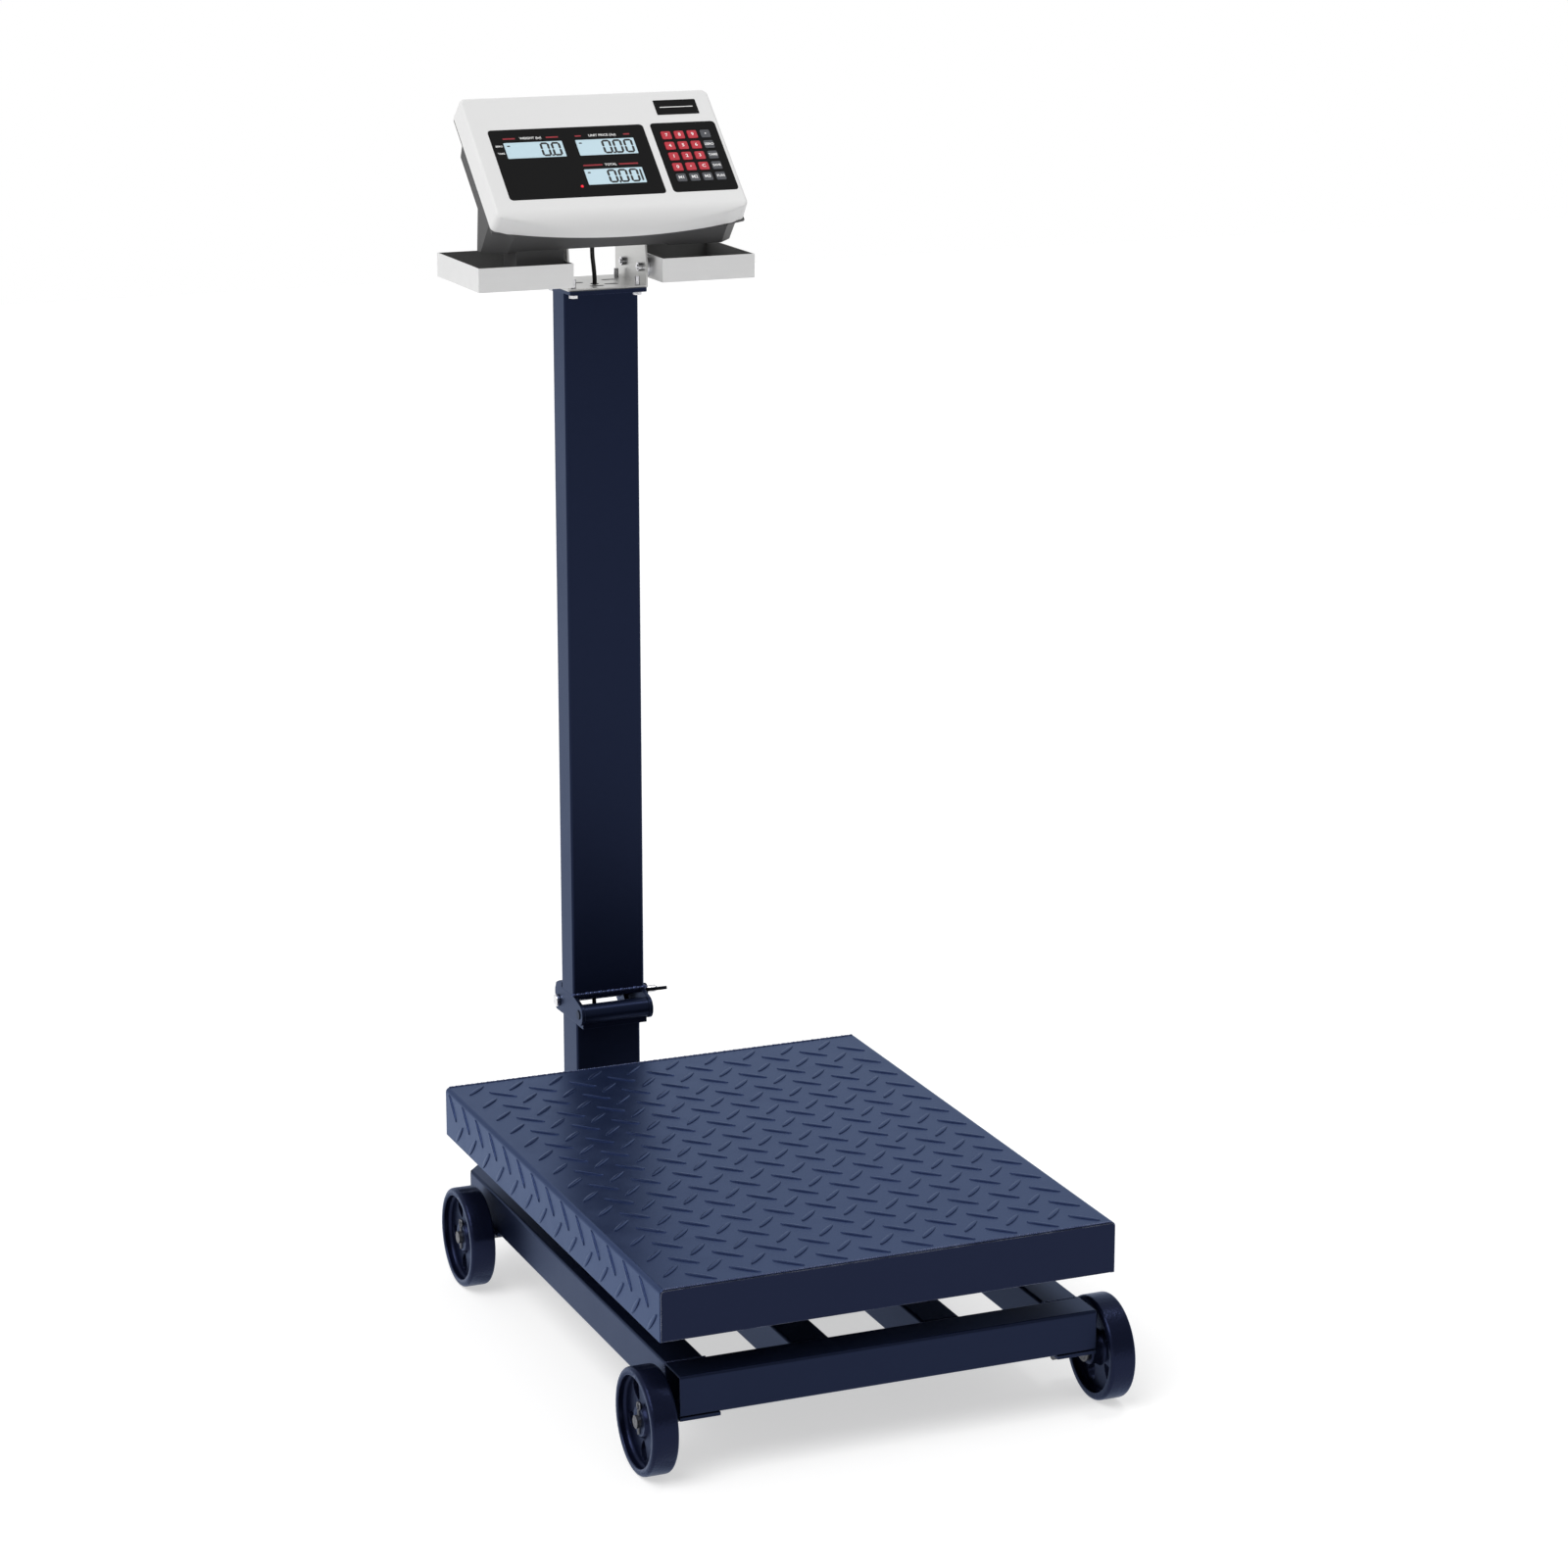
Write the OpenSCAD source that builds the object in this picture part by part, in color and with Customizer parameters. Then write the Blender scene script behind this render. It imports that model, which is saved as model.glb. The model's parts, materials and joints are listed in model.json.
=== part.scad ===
// Wheeled bench scale with a folding column and a tilting price-computing head.
// Lengths are in millimetres. +Z is up, -Y is the front, and the origin lies on the
// floor under the middle of the whole scale. Fore-and-aft places are measured from
// the middle of the weighing platform and shifted to the origin by placed().

/* [Platform] */
// Width of the weighing platform, side to side
plat_w = 450; // [360:10:600]
// Length of the weighing platform, front to back
plat_l = 600; // [500:10:800]
// Height of the platform's top face above the floor
plat_top = 184; // [180:1:230]
// Thickness of the tread plate
cover_t = 4; // [3:0.5:5]
// Depth of the skirts below the top face
skirt_h = 51; // [45:1:55]
// Thickness of the welded end skirts
skirt_t = 3; // [2:0.5:4]

/* [Frame] */
// Overall width of the lower frame
frame_w = 411; // [330:1:560]
// Distance of the rails' rear ends behind the platform's middle
frame_rear = 280; // [240:5:380]
// Width of the frame's box tube
rail_w = 38; // [30:1:50]
// Height of the frame's box tube
rail_h = 39; // [30:1:42]
// Wall of the frame's box tube
rail_wall = 2; // [1.5:0.5:3]
// Outer corner radius of the frame's box tube
rail_r = 3; // [2.5:0.5:4]
// Distance between the two inner rails, middle to middle
inner_rails = 130; // [100:2:180]

/* [Wheels] */
// Wheel diameter
wheel_d = 99; // [90:1:110]
// Tread width
wheel_w = 25; // [18:1:30]
// Distance between the wheels' outer faces
track_w = 476; // [400:1:640]
// Front axles ahead of the platform's middle
front_axle = 270; // [200:5:280]
// Rear axles behind the platform's middle
rear_axle = 229; // [180:5:250]
// Axle diameter
axle_d = 12; // [10:1:14]
// Number of spokes in a wheel
spokes = 5; // [3:1:7]

/* [Column] */
// Width of the upper column, side to side
post_w = 79.2; // [70:0.2:80]
// Depth of the upper column, front to back
post_d = 36.8; // [32:0.2:50]
// Wall of both column tubes
post_wall = 2; // [1.5:0.5:3]
// Front face of the upper column behind the platform's middle
post_front = 430; // [420:1:520]
// Height of the column's top end above the floor
post_top = 954.5; // [700:0.5:1100]
// Height of the upper column's lower end above the floor
post_foot = 217.5; // [216:0.5:222]
// Depth of the lower column stub, front to back
stub_d = 44.5; // [40:0.5:50]
// Height of the lower stub's top above the floor
stub_top = 192; // [188:1:194]

/* [Fold hinge] */
// Height of the hinge pin above the floor
pivot_z = 202; // [200:1:206]
// Distance of the hinge pin ahead of the column's front face
pivot_ahead = 15; // [13:1:18]
// Hinge pin diameter
pivot_d = 10; // [8:1:12]
// Barrel outer diameter
barrel_d = 20; // [18:1:22]
// Thickness of the side plates
ear_t = 3.9; // [3:0.1:4.5]
// Latch bolt diameter
latch_d = 8; // [6:1:8]
// Distance of the latch bolt behind the hinge pin
latch_back = 62; // [60:1:64]

/* [Head bracket and trays] */
// Cap plate side
cap_w = 82; // [80:1:92]
// Cap plate thickness
cap_t = 4; // [3:0.5:5]
// Outside width of the bracket
bracket_w = 85; // [82:1:90]
// Sheet thickness of the bracket
bracket_t = 2; // [1.5:0.5:2.5]
// Depth of the bracket, front to back
bracket_d = 88; // [80:1:92]
// Width of one tray, side to side
tray_w = 99; // [60:1:140]
// Depth of a tray, front to back
tray_d = 130; // [100:1:132]
// Height of a tray's walls
tray_h = 24; // [15:1:30]
// Sheet thickness of the trays
tray_t = 1.2; // [1:0.1:2]
// Gap between bracket and tray
tray_gap = 4.5; // [4:0.5:8]

/* [Head] */
// Width of the front shell
head_w = 268; // [262:1:290]
// Height of the front shell along its face
head_h = 170; // [166:1:176]
// Place of the head's middle to the right of the column's
head_x = 5; // [3:1:8]
// Lean of the face back from upright
head_lean = 48; // [44:1:50]
// Depth of the front shell
front_depth = 23; // [20:1:25]
// Depth of the whole head over its flat back
head_depth = 40; // [38:1:46]
// Wall of both shells
shell_wall = 2.5; // [2:0.5:3]
// Side of one square key
key_w = 10.4; // [8:0.2:10.6]
// Distance between neighbouring keys
key_pitch = 14; // [13.4:0.1:14.4]
// Key travel
key_travel = 0.6; // [0.3:0.1:1]

/* [Cable] */
// Signal cable diameter
cable_d = 4.4; // [3.6:0.2:5]

/* [Hidden] */
$fn = 64;
eps = 0.01;
run_gap = 0.05;        // radial clearance of a running fit
free_gap = 0.3;        // clearance between faces that move past each other

// outer places of the whole scale, used only to find its middle
front_y = -front_axle - wheel_d / 2;
cap_y = post_front + post_d / 2;
tray_front = cap_y - 68;
face_top = head_h / 2 - 5;
head_back = post_front + face_top * sin(head_lean) + front_depth * cos(head_lean);
back_y = max(tray_front + tray_d, head_back);
mid_y = (front_y + back_y) / 2;

// heights, built up from the floor
axle_z = wheel_d / 2;
foot_plate_t = 3.5;
saddle_t = 0.5;
rail_z = axle_z + axle_d / 2 + saddle_t + foot_plate_t;
rail_top = rail_z + rail_h;
front_beam_y = -plat_l / 2;
skirt_z = plat_top - skirt_h;

// load cell stack between the inner rails and the cover
cell_w = 40;
cell_l = 150;
cell_h = 40;
cell_plate_t = 6;
cell_plate_l = 46;
cell_z = rail_top + cell_plate_t;
spider_z = cell_z + cell_h + cell_plate_t;
spider_h = 22;
spider_w = 40;
pad_h = plat_top - cover_t - spider_z - spider_h;
pad_d = 34;
pad_inset = 62;
screw_x = [-10, 10];        // places of the cell's screws across
fixed_y = [-62, -42];       // and along, at the cell's fixed end
loaded_y = [42, 62];        // and at its loaded end
screw_d = 8;
screw_hex = 14;
screw_head = 5.3;
screw_reach = cell_plate_t + 24;
arm_y = [-cell_l / 2 + 22, cell_l / 2 - 22];
spider_wall = 3;
pad_x = plat_w / 2 - pad_inset;
pad_y = plat_l / 2 - pad_inset;

// axles and wheels
axle_out = track_w / 2 - 1;
axle_in = frame_w / 2 - 30;
hub_d = 32;
hub_in = frame_w / 2 + 4;
hub_out = track_w / 2 - 9.5;
washer_t = 1.5;
washer_d = axle_d + 12;
split_pin_d = 3.2;
web_t = 6;
rim_t = 6;
pin_x = hub_out + washer_t + 3.2;

// column stub and hinge
stub_w = post_w - 2 * ear_t - 2 * free_gap;
stub_front = post_front + 2;
pivot_y = post_front - pivot_ahead;
latch_y = pivot_y + latch_back;
latch_z = pivot_z - 1.8;
ear_out = post_w / 2;
ear_in = ear_out - ear_t;
nose_r = barrel_d / 2 + 1.5;
foot_t = 4;
wing_turn = 74;
wing_t = 3.4;
wing_outline = [[5, 3], [9, 3.5], [17, 17], [20.5, 27], [19, 34], [15, 35], [12, 29], [7, 16.5], [5, 16.5]];

// bracket and trays
cap_top = post_top + cap_t;
stud_x = cap_w / 2 - 7;
stud_y = 30.5;
stud_d = 5;
tray_screw_y = [-24, 24];
tray_rise = 11;             // tray screws above the tray's floor
tilt_bolt_d = 6.3;
flange_out = bracket_w / 2;
tray_in = flange_out + tray_gap;
tray_z = cap_top + 8;

// head: its face frame and its tilt axis
tilt_y = post_front;
tilt_z = cap_top + 57.5;
face_y = tilt_y;
face_z = tilt_z + 76;
lip_r = front_depth - 1;
face_low = face_top - head_h;
rear_w = head_w - 3;
lower_corner = 22;
lobe_r = 15;
lug_out = flange_out - bracket_t - free_gap;
lug_t = 4;
pocket_w = 124;
key_cols = [76.3, 90.3, 104.3, 118.3];
key_first_v = 19.2;
panel_t = 1.2;
board_top = -8;
board_t = 1.6;
board_at = [-112, -66, 126, 54];
shell_boss_d = 7;
shell_screw_d = 3;
board_post_d = 6;
key_foot = 1.6;             // how far a key's foot lies behind the panel
step_top = 42;              // where the rear shell steps back, up the face
step_low = 38;
thin_depth = front_depth + 5;
belly_top = -30;            // where its belly starts, lies deepest and ends
belly_at = [-55, -74];
belly_front = -49;
flange_w = key_w + 1.8;

// signal cable: under the cover, up through the hinge and the column, into the head
cable_x = -10;
cable_y = cap_y;
cable_low_z = rail_top + 5;
outlet_x = -3;
outlet_y = cap_y - 7;
base_route = [[0, 75, 116], [0, 90, 112], [0, 104, 106], [0, 120, cable_low_z], [0, 200, cable_low_z],
    [0, 300, cable_low_z], [0, 400, cable_low_z], [0, 440, cable_low_z], [-4, 446, 108], [-8, 448, 116],
    [cable_x, cable_y, 126], [cable_x, cable_y, 172]];
hinge_route = [[cable_x, cable_y, 172], [cable_x, cable_y, 188], [cable_x, cable_y, 204],
    [cable_x, cable_y, 220], [cable_x, cable_y, 238]];
mast_route = [[cable_x, cable_y, 238], [cable_x, cable_y, 500], [cable_x, cable_y, 900], [-8, 446, 920],
    [-5, 443, 935], [outlet_x, outlet_y, 948], [outlet_x, outlet_y, cap_top + bracket_t + 1]];
head_route = [[outlet_x, outlet_y, cap_top + bracket_t + 1], [outlet_x, outlet_y, 966], [-4, 441, 977],
    [-6, 439, 990], [-7, 436, 1006], [-7, 434, 1022], [-7, 434, 1035]];

// ---------- shared shapes ----------

// moves a piece from the platform's middle to the scale's own origin
module placed() translate([0, -mid_y, 0]) children();

// the same piece on both sides of the scale
module both_sides() {
    children();
    mirror([1, 0, 0]) children();
}

// rectangle with round corners, about its middle
module round_rect(w, h, r) {
    square([w - 2 * r, h], center = true);
    square([w, h - 2 * r], center = true);
    for (x = [-1, 1], y = [-1, 1])
        translate([x * (w / 2 - r), y * (h / 2 - r)]) circle(r);
}

// section of a box tube, about its middle
module tube_section(w, h, wall, r) difference() {
    round_rect(w, h, r);
    round_rect(w - 2 * wall, h - 2 * wall, r - wall);
}

// box tube along Y, its underside at height z
module tube_y(x, y0, y1, z) translate([x, y1, z + rail_h / 2]) rotate([90, 0, 0])
    linear_extrude(y1 - y0) tube_section(rail_w, rail_h, rail_wall, rail_r);

// box tube along X, its front face at y
module tube_x(y, x0, x1, z) translate([x0, y + rail_w / 2, z + rail_h / 2]) rotate([90, 0, 90])
    linear_extrude(x1 - x0) tube_section(rail_w, rail_h, rail_wall, rail_r);

// upright box tube between two heights
module tube_z(w, d, y, z0, z1) translate([0, y + d / 2, z0])
    linear_extrude(z1 - z0) tube_section(w, d, post_wall, post_wall + 1);

// cylinder along X between two places
module rod_x(x0, x1, y, z, d) translate([x0, y, z]) rotate([0, 90, 0]) cylinder(d = d, h = x1 - x0);

// the four axle places, as [side, y]
axle_places = [for (s = [-1, 1], y = [-front_axle, rear_axle]) [s, y]];

// ---------- lower frame ----------

module cross_beams() color("midnightblue") placed() {
    tube_x(front_beam_y, -frame_w / 2, frame_w / 2, rail_z);
    tube_x(frame_rear - rail_w, -frame_w / 2 + rail_w, frame_w / 2 - rail_w, rail_z);
}

module long_rails() color("midnightblue") placed() {
    both_sides() tube_y(frame_w / 2 - rail_w / 2, front_beam_y + rail_w, frame_rear, rail_z);
    both_sides() tube_y(inner_rails / 2, front_beam_y + rail_w, frame_rear - rail_w, rail_z);
}

// two braces that close the frame behind the platform, and the spine between them
module rear_struts() color("midnightblue") placed() {
    stub_x = stub_w / 2;
    both_sides() difference() {
        translate([0, 0, rail_z]) linear_extrude(rail_h)
            polygon([[frame_w / 2, frame_rear], [frame_w / 2 - rail_w, frame_rear],
                [stub_x, stub_front], [stub_x, stub_front + stub_d]]);
        translate([0, 0, rail_z + rail_wall]) linear_extrude(rail_h - 2 * rail_wall)
            polygon([[frame_w / 2 - 5, frame_rear + rail_wall], [frame_w / 2 - rail_w + 4, frame_rear + rail_wall],
                [stub_x + rail_wall, stub_front + 4], [stub_x + rail_wall, stub_front + stub_d - 8]]);
    }
    tube_y(0, frame_rear, stub_front, rail_z);
}

// plate under each rail end with a cradle that the axle is welded into
module axle_brackets() color("midnightblue") placed()
    for (p = axle_places) difference() {
        union() {
            translate([p[0] > 0 ? axle_in - 9 : -frame_w / 2, p[1] - 30, rail_z - foot_plate_t])
                cube([frame_w / 2 - axle_in + 9, 60, foot_plate_t]);
            translate([p[0] > 0 ? axle_in : -frame_w / 2, p[1] - 10, axle_z])
                cube([frame_w / 2 - axle_in, 20, axle_d / 2 + saddle_t]);
        }
        rod_x(p[0] > 0 ? axle_in - 10 : -frame_w / 2 - 1, p[0] > 0 ? frame_w / 2 + 1 : -axle_in + 10,
            p[1], axle_z, axle_d);
    }

module axles() color("silver") placed()
    for (p = axle_places) difference() {
        rod_x(p[0] > 0 ? axle_in : -axle_out, p[0] > 0 ? axle_out : -axle_in, p[1], axle_z, axle_d);
        translate([p[0] * pin_x, p[1], axle_z]) cylinder(d = split_pin_d, h = axle_d + 2, center = true);
    }

// washer on both sides of each hub, and the split pin through the axle's end
module axle_retainers() color("silver") placed()
    for (p = axle_places) {
        for (x = [hub_out + free_gap, frame_w / 2 + 1])
            difference() {
                rod_x(p[0] > 0 ? x : -x - washer_t, p[0] > 0 ? x + washer_t : -x, p[1], axle_z, washer_d);
                rod_x(p[0] * x - 5, p[0] * x + 5, p[1], axle_z, axle_d);
            }
        translate([p[0] * pin_x, p[1], axle_z]) {
            cylinder(d = split_pin_d, h = axle_d + 12, center = true);
            translate([0, 0, axle_d / 2 + 8.5]) rotate([0, 90, 0])
                rotate_extrude() translate([3.4, 0]) circle(d = 2.2);
        }
    }

// cast spoked wheel along X, its outer face towards +X
module wheel_shape() rotate([90, 0, 90]) {
    outer = track_w / 2;
    difference() {
        translate([0, 0, outer - wheel_w]) cylinder(d = wheel_d, h = wheel_w, $fn = 128);
        translate([0, 0, outer - wheel_w - 1]) cylinder(d = wheel_d - 2 * rim_t, h = wheel_w + 2, $fn = 128);
    }
    difference() {
        translate([0, 0, outer - wheel_w / 2 - web_t / 2]) linear_extrude(web_t) difference() {
            circle(d = wheel_d - rim_t);
            difference() {
                circle(d = wheel_d - 2 * rim_t - 7);
                circle(d = hub_d + 6);
                for (i = [0:spokes - 1]) rotate(i * 360 / spokes)
                    translate([0, -7]) square([wheel_d / 2, 14]);
            }
        }
        translate([0, 0, hub_in]) cylinder(d = axle_d + 2 * run_gap, h = hub_out - hub_in);
    }
    difference() {
        translate([0, 0, hub_in]) cylinder(d = hub_d, h = hub_out - hub_in);
        translate([0, 0, hub_in - 1]) cylinder(d = axle_d + 2 * run_gap, h = hub_out - hub_in + 2);
    }
}

module wheel(side, y) color("darkslateblue") placed()
    translate([0, y, axle_z]) mirror([side < 0 ? 1 : 0, 0, 0]) wheel_shape();

// lower column stub with the hinge barrel in front and two latch hooks behind
module lower_post() color("midnightblue") placed() {
    hook_t = 5;
    barrel_web = 6;
    hook_x = stub_w / 2 - post_wall - hook_t;
    stub_back = stub_front + stub_d;
    difference() {
        union() {
            tube_z(stub_w, stub_d, stub_front, rail_z, stub_top);
            rod_x(-stub_w / 2, stub_w / 2, pivot_y, pivot_z, barrel_d);
            translate([-stub_w / 2, pivot_y - 2, stub_top - barrel_web])
                cube([stub_w, stub_front - pivot_y + 2.5, pivot_z - barrel_d / 4 - stub_top + barrel_web]);
            both_sides() translate([hook_x, 0, 0]) rotate([90, 0, 90]) linear_extrude(hook_t + eps)
                polygon([[latch_y - 25, stub_top - 30], [stub_back - 1, stub_top - 30],
                    [stub_back - 1, stub_top - 6], [latch_y + 9, latch_z - 7],
                    [latch_y + 9, latch_z + 6], [latch_y - 9, latch_z + 6], [latch_y - 25, stub_top - 3]]);
        }
        rod_x(-stub_w, stub_w, pivot_y, pivot_z, pivot_d + 2 * run_gap);
        rod_x(-stub_w, stub_w, latch_y, latch_z, latch_d + 1);
        translate([-stub_w, latch_y - latch_d / 2 - 0.5, latch_z]) cube([2 * stub_w, latch_d + 1, 20]);
        translate([0, stub_front - 5, cable_low_z]) rotate([-90, 0, 0]) cylinder(d = cable_d + 4, h = 12);
    }
}

// ---------- weighing parts ----------

module load_cell() color("silver") placed() difference() {
    translate([-cell_w / 2, -cell_l / 2, cell_z]) cube([cell_w, cell_l, cell_h]);
    for (y = [-14, 14]) rod_x(-cell_w, cell_w, y, cell_z + cell_h / 2, 26);
    translate([-cell_w, -14, cell_z + cell_h / 2 - 4]) cube([2 * cell_w, 28, 8]);
    for (y = concat(fixed_y, loaded_y), x = screw_x)
        translate([x, y, cell_z - 1]) cylinder(d = screw_d, h = cell_h + 2);
}

// one plate carries the cell's fixed end on the inner rails, the other carries the spider
module cell_plates() color("dimgray") placed() {
    difference() {
        translate([-inner_rails / 2 - rail_w / 2, -cell_l / 2, rail_top])
            cube([inner_rails + rail_w, cell_plate_l, cell_plate_t]);
        for (y = fixed_y, x = screw_x) translate([x, y, rail_top - 1]) cylinder(d = screw_d, h = 10);
    }
    difference() {
        translate([-cell_w / 2 - 10, cell_l / 2 - cell_plate_l, cell_z + cell_h])
            cube([cell_w + 20, cell_plate_l, cell_plate_t]);
        for (y = loaded_y, x = screw_x) translate([x, y, cell_z + cell_h - 1]) cylinder(d = screw_d, h = 10);
    }
}

// hexagon screws up into the cell's fixed end and down into its loaded end
module cell_screws() color("gray") placed() for (x = screw_x) {
    for (y = fixed_y) {
        translate([x, y, rail_top - screw_head]) cylinder(d = screw_hex, h = screw_head, $fn = 6);
        translate([x, y, rail_top - eps]) cylinder(d = screw_d, h = screw_reach);
    }
    for (y = loaded_y) {
        translate([x, y, spider_z]) cylinder(d = screw_hex, h = screw_head, $fn = 6);
        translate([x, y, spider_z - screw_reach]) cylinder(d = screw_d, h = screw_reach + eps);
    }
}

// cross of flat box tube that carries the cover on four pads
module spider_frame() color("midnightblue") placed() translate([0, 0, spider_z]) difference() {
    linear_extrude(spider_h) {
        for (s = [-1, 1]) translate([s * pad_x, 0]) square([spider_w, 2 * pad_y + spider_w], center = true);
        for (y = arm_y) translate([0, y]) square([2 * pad_x, spider_w + 8], center = true);
    }
    for (y = loaded_y, x = screw_x) translate([x, y, -1]) cylinder(d = screw_hex + 4, h = spider_h + 2);
    for (s = [-1, 1]) translate([s * pad_x, 0, spider_h / 2])
        cube([spider_w - 2 * spider_wall, 2 * pad_y + spider_w + 2, spider_h - 2 * spider_wall], center = true);
    for (y = arm_y) translate([0, y, spider_h / 2])
        cube([2 * pad_x, spider_w + 2, spider_h - 2 * spider_wall], center = true);
}

module rubber_pads() color("black") placed()
    for (x = [-pad_x, pad_x], y = [-pad_y, pad_y])
        translate([x, y, spider_z + spider_h]) cylinder(d = pad_d, h = pad_h);

// tread plate bent down at both sides, with a plain skirt welded across each end
module platform_cover() color("slategray") placed() difference() {
    translate([-plat_w / 2, -plat_l / 2, skirt_z]) cube([plat_w, plat_l, skirt_h]);
    translate([-plat_w / 2 + cover_t, -plat_l / 2 + skirt_t, skirt_z - 1])
        cube([plat_w - 2 * cover_t, plat_l - 2 * skirt_t, skirt_h - cover_t + 1]);
}

// ---------- upper column ----------

module upper_post() color("midnightblue") placed() tube_z(post_w, post_d, post_front, post_foot, post_top);

// side plates that hang the column on the hinge pin, and the plate that closes its foot
module ear_plates() color("midnightblue") placed() {
    rear_edge = latch_y + 11;
    low = latch_z - 11.5;
    post_back = post_front + post_d;
    both_sides() translate([ear_in, 0, 0]) rotate([90, 0, 90]) linear_extrude(ear_t) difference() {
        union() {
            translate([pivot_y, pivot_z]) circle(nose_r);
            polygon([[pivot_y, pivot_z - nose_r], [rear_edge - 4, low], [rear_edge, low + 4],
                [rear_edge, post_foot - 7], [rear_edge - 4, post_foot + 1], [rear_edge - 13, post_foot + 5],
                [post_back, post_foot + 5], [post_back, post_foot], [post_front, post_foot],
                [pivot_y - 2, pivot_z + nose_r - 0.2]]);
        }
        translate([pivot_y, pivot_z]) circle(d = pivot_d);
        translate([latch_y, latch_z]) circle(d = latch_d);
        translate([latch_y, latch_z - latch_d / 2]) square([20, latch_d]);
    }
    difference() {
        translate([-ear_in - eps, post_front, post_foot - foot_t]) cube([2 * ear_in + 2 * eps, post_d, foot_t]);
        translate([cable_x, cable_y, post_foot - foot_t - 1]) cylinder(d = cable_d + 6, h = foot_t + 2);
    }
}

module pivot_pin() color("silver") placed()
    rod_x(-ear_out - 1, ear_out + 1, pivot_y, pivot_z, pivot_d);

// long bolt across both side plates, its dome head on the left
module latch_bolt() color("silver") placed() {
    rod_x(-ear_out - 2, ear_out + 30, latch_y, latch_z, latch_d);
    rod_x(-ear_out - 4, -ear_out, latch_y, latch_z, latch_d + 5);
    difference() {
        rod_x(ear_out, ear_out + 2, latch_y, latch_z, 18);
        rod_x(ear_out - 1, ear_out + 3, latch_y, latch_z, latch_d);
    }
}

// wing nut that clamps the side plates onto the stub
module wing_nut() color("darkslategray") placed() translate([ear_out + 2 + free_gap, latch_y, latch_z])
    rotate([0, 90, 0]) difference() {
        union() {
            cylinder(d1 = 19, d2 = 14, h = 17);
            rotate(wing_turn) for (s = [0, 180]) rotate(s) rotate([90, 0, 0])
                linear_extrude(wing_t, center = true) polygon(wing_outline);
        }
        translate([0, 0, -1]) cylinder(d = latch_d + 2 * run_gap, h = 40);
    }

// ---------- bracket and trays ----------

// the four screw places of the cap, as [x, y]
stud_places = [for (x = [-stud_x, stud_x], y = [-stud_y, stud_y]) [x, cap_y + y]];

module cap_plate() color("midnightblue") placed() difference() {
    translate([0, cap_y, post_top]) linear_extrude(cap_t) round_rect(cap_w, cap_w, 3);
    for (p = stud_places) translate([p[0], p[1], post_top - 1]) cylinder(d = stud_d, h = cap_t + 2);
    translate([outlet_x, outlet_y, post_top - 1]) cylinder(d = 14, h = cap_t + 2);
}

// folded stainless channel that carries the head between its two flanges
module head_bracket() color("gainsboro") placed() {
    front = cap_y - bracket_d / 2 + 6;
    difference() {
        translate([-flange_out, front, cap_top]) cube([bracket_w, bracket_d, bracket_t]);
        for (p = stud_places) translate([p[0], p[1], cap_top - 1]) cylinder(d = stud_d, h = bracket_t + 2);
        translate([outlet_x, outlet_y, cap_top - 1]) cylinder(d = 9, h = bracket_t + 2);
        for (p = [[-18, 6], [12, -14], [20, 16], [-6, -22]]) translate([p[0], cap_y + p[1], cap_top - 1])
            linear_extrude(bracket_t + 2) round_rect(15, 6, 2.9);
    }
    both_sides() translate([flange_out - bracket_t, 0, 0]) rotate([90, 0, 90]) linear_extrude(bracket_t)
        difference() {
            union() {
                polygon([[front, cap_top], [front + bracket_d, cap_top], [front + bracket_d, cap_top + 38],
                    [tilt_y + 12, tilt_z + 8], [tilt_y - lobe_r, tilt_z], [front, cap_top + 26]]);
                translate([tilt_y, tilt_z]) circle(lobe_r);
            }
            translate([tilt_y, tilt_z]) circle(d = tilt_bolt_d + 0.1);
            for (y = tray_screw_y) translate([cap_y + y, tray_z + tray_rise]) circle(d = stud_d);
        }
}

module trays() color("gainsboro") placed() both_sides() difference() {
    translate([tray_in, tray_front, tray_z]) cube([tray_w, tray_d, tray_h]);
    translate([tray_in + tray_t, tray_front + tray_t, tray_z + tray_t])
        cube([tray_w - 2 * tray_t, tray_d - 2 * tray_t, tray_h]);
    for (y = tray_screw_y) rod_x(tray_in - 1, tray_in + 3, cap_y + y, tray_z + tray_rise, stud_d);
}

// hexagon screws up through the cap, and screws with spacers that hang the trays
module bracket_screws() color("silver") placed() {
    for (p = stud_places) {
        translate([p[0], p[1], post_top - 4]) cylinder(d = 10, h = 4, $fn = 6);
        translate([p[0], p[1], post_top - eps]) cylinder(d = stud_d, h = cap_t + bracket_t + 9);
    }
    both_sides() for (y = tray_screw_y) {
        rod_x(flange_out - bracket_t - 5, tray_in + tray_t, cap_y + y, tray_z + tray_rise, stud_d);
        rod_x(tray_in + tray_t, tray_in + tray_t + 2.5, cap_y + y, tray_z + tray_rise, 9);
        difference() {
            rod_x(flange_out, tray_in, cap_y + y, tray_z + tray_rise, y < 0 ? 20 : 12);
            rod_x(flange_out - 1, tray_in + 1, cap_y + y, tray_z + tray_rise, stud_d);
        }
        difference() {
            rod_x(flange_out - bracket_t - 4, flange_out - bracket_t, cap_y + y, tray_z + tray_rise, 9);
            rod_x(flange_out - bracket_t - 5, flange_out - bracket_t + 1, cap_y + y, tray_z + tray_rise, stud_d);
        }
    }
}

// ---------- head ----------

// carries a piece from the face's own frame, where X runs across the face, Y up the
// face and Z out of it, to its place on the scale
module on_face() placed() translate([0, face_y, face_z]) rotate([90 - head_lean, 0, 0]) children();

// outline of the front shell seen square on, with a bowed lower edge
module face_outline(inset) translate([head_x, 0]) {
    bow_r = 650;
    intersection() {
        translate([0, (face_top + face_low) / 2]) round_rect(head_w - 2 * inset, head_h - 2 * inset, 7);
        translate([0, face_low + inset + bow_r]) circle(bow_r, $fn = 360);
    }
}

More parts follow.
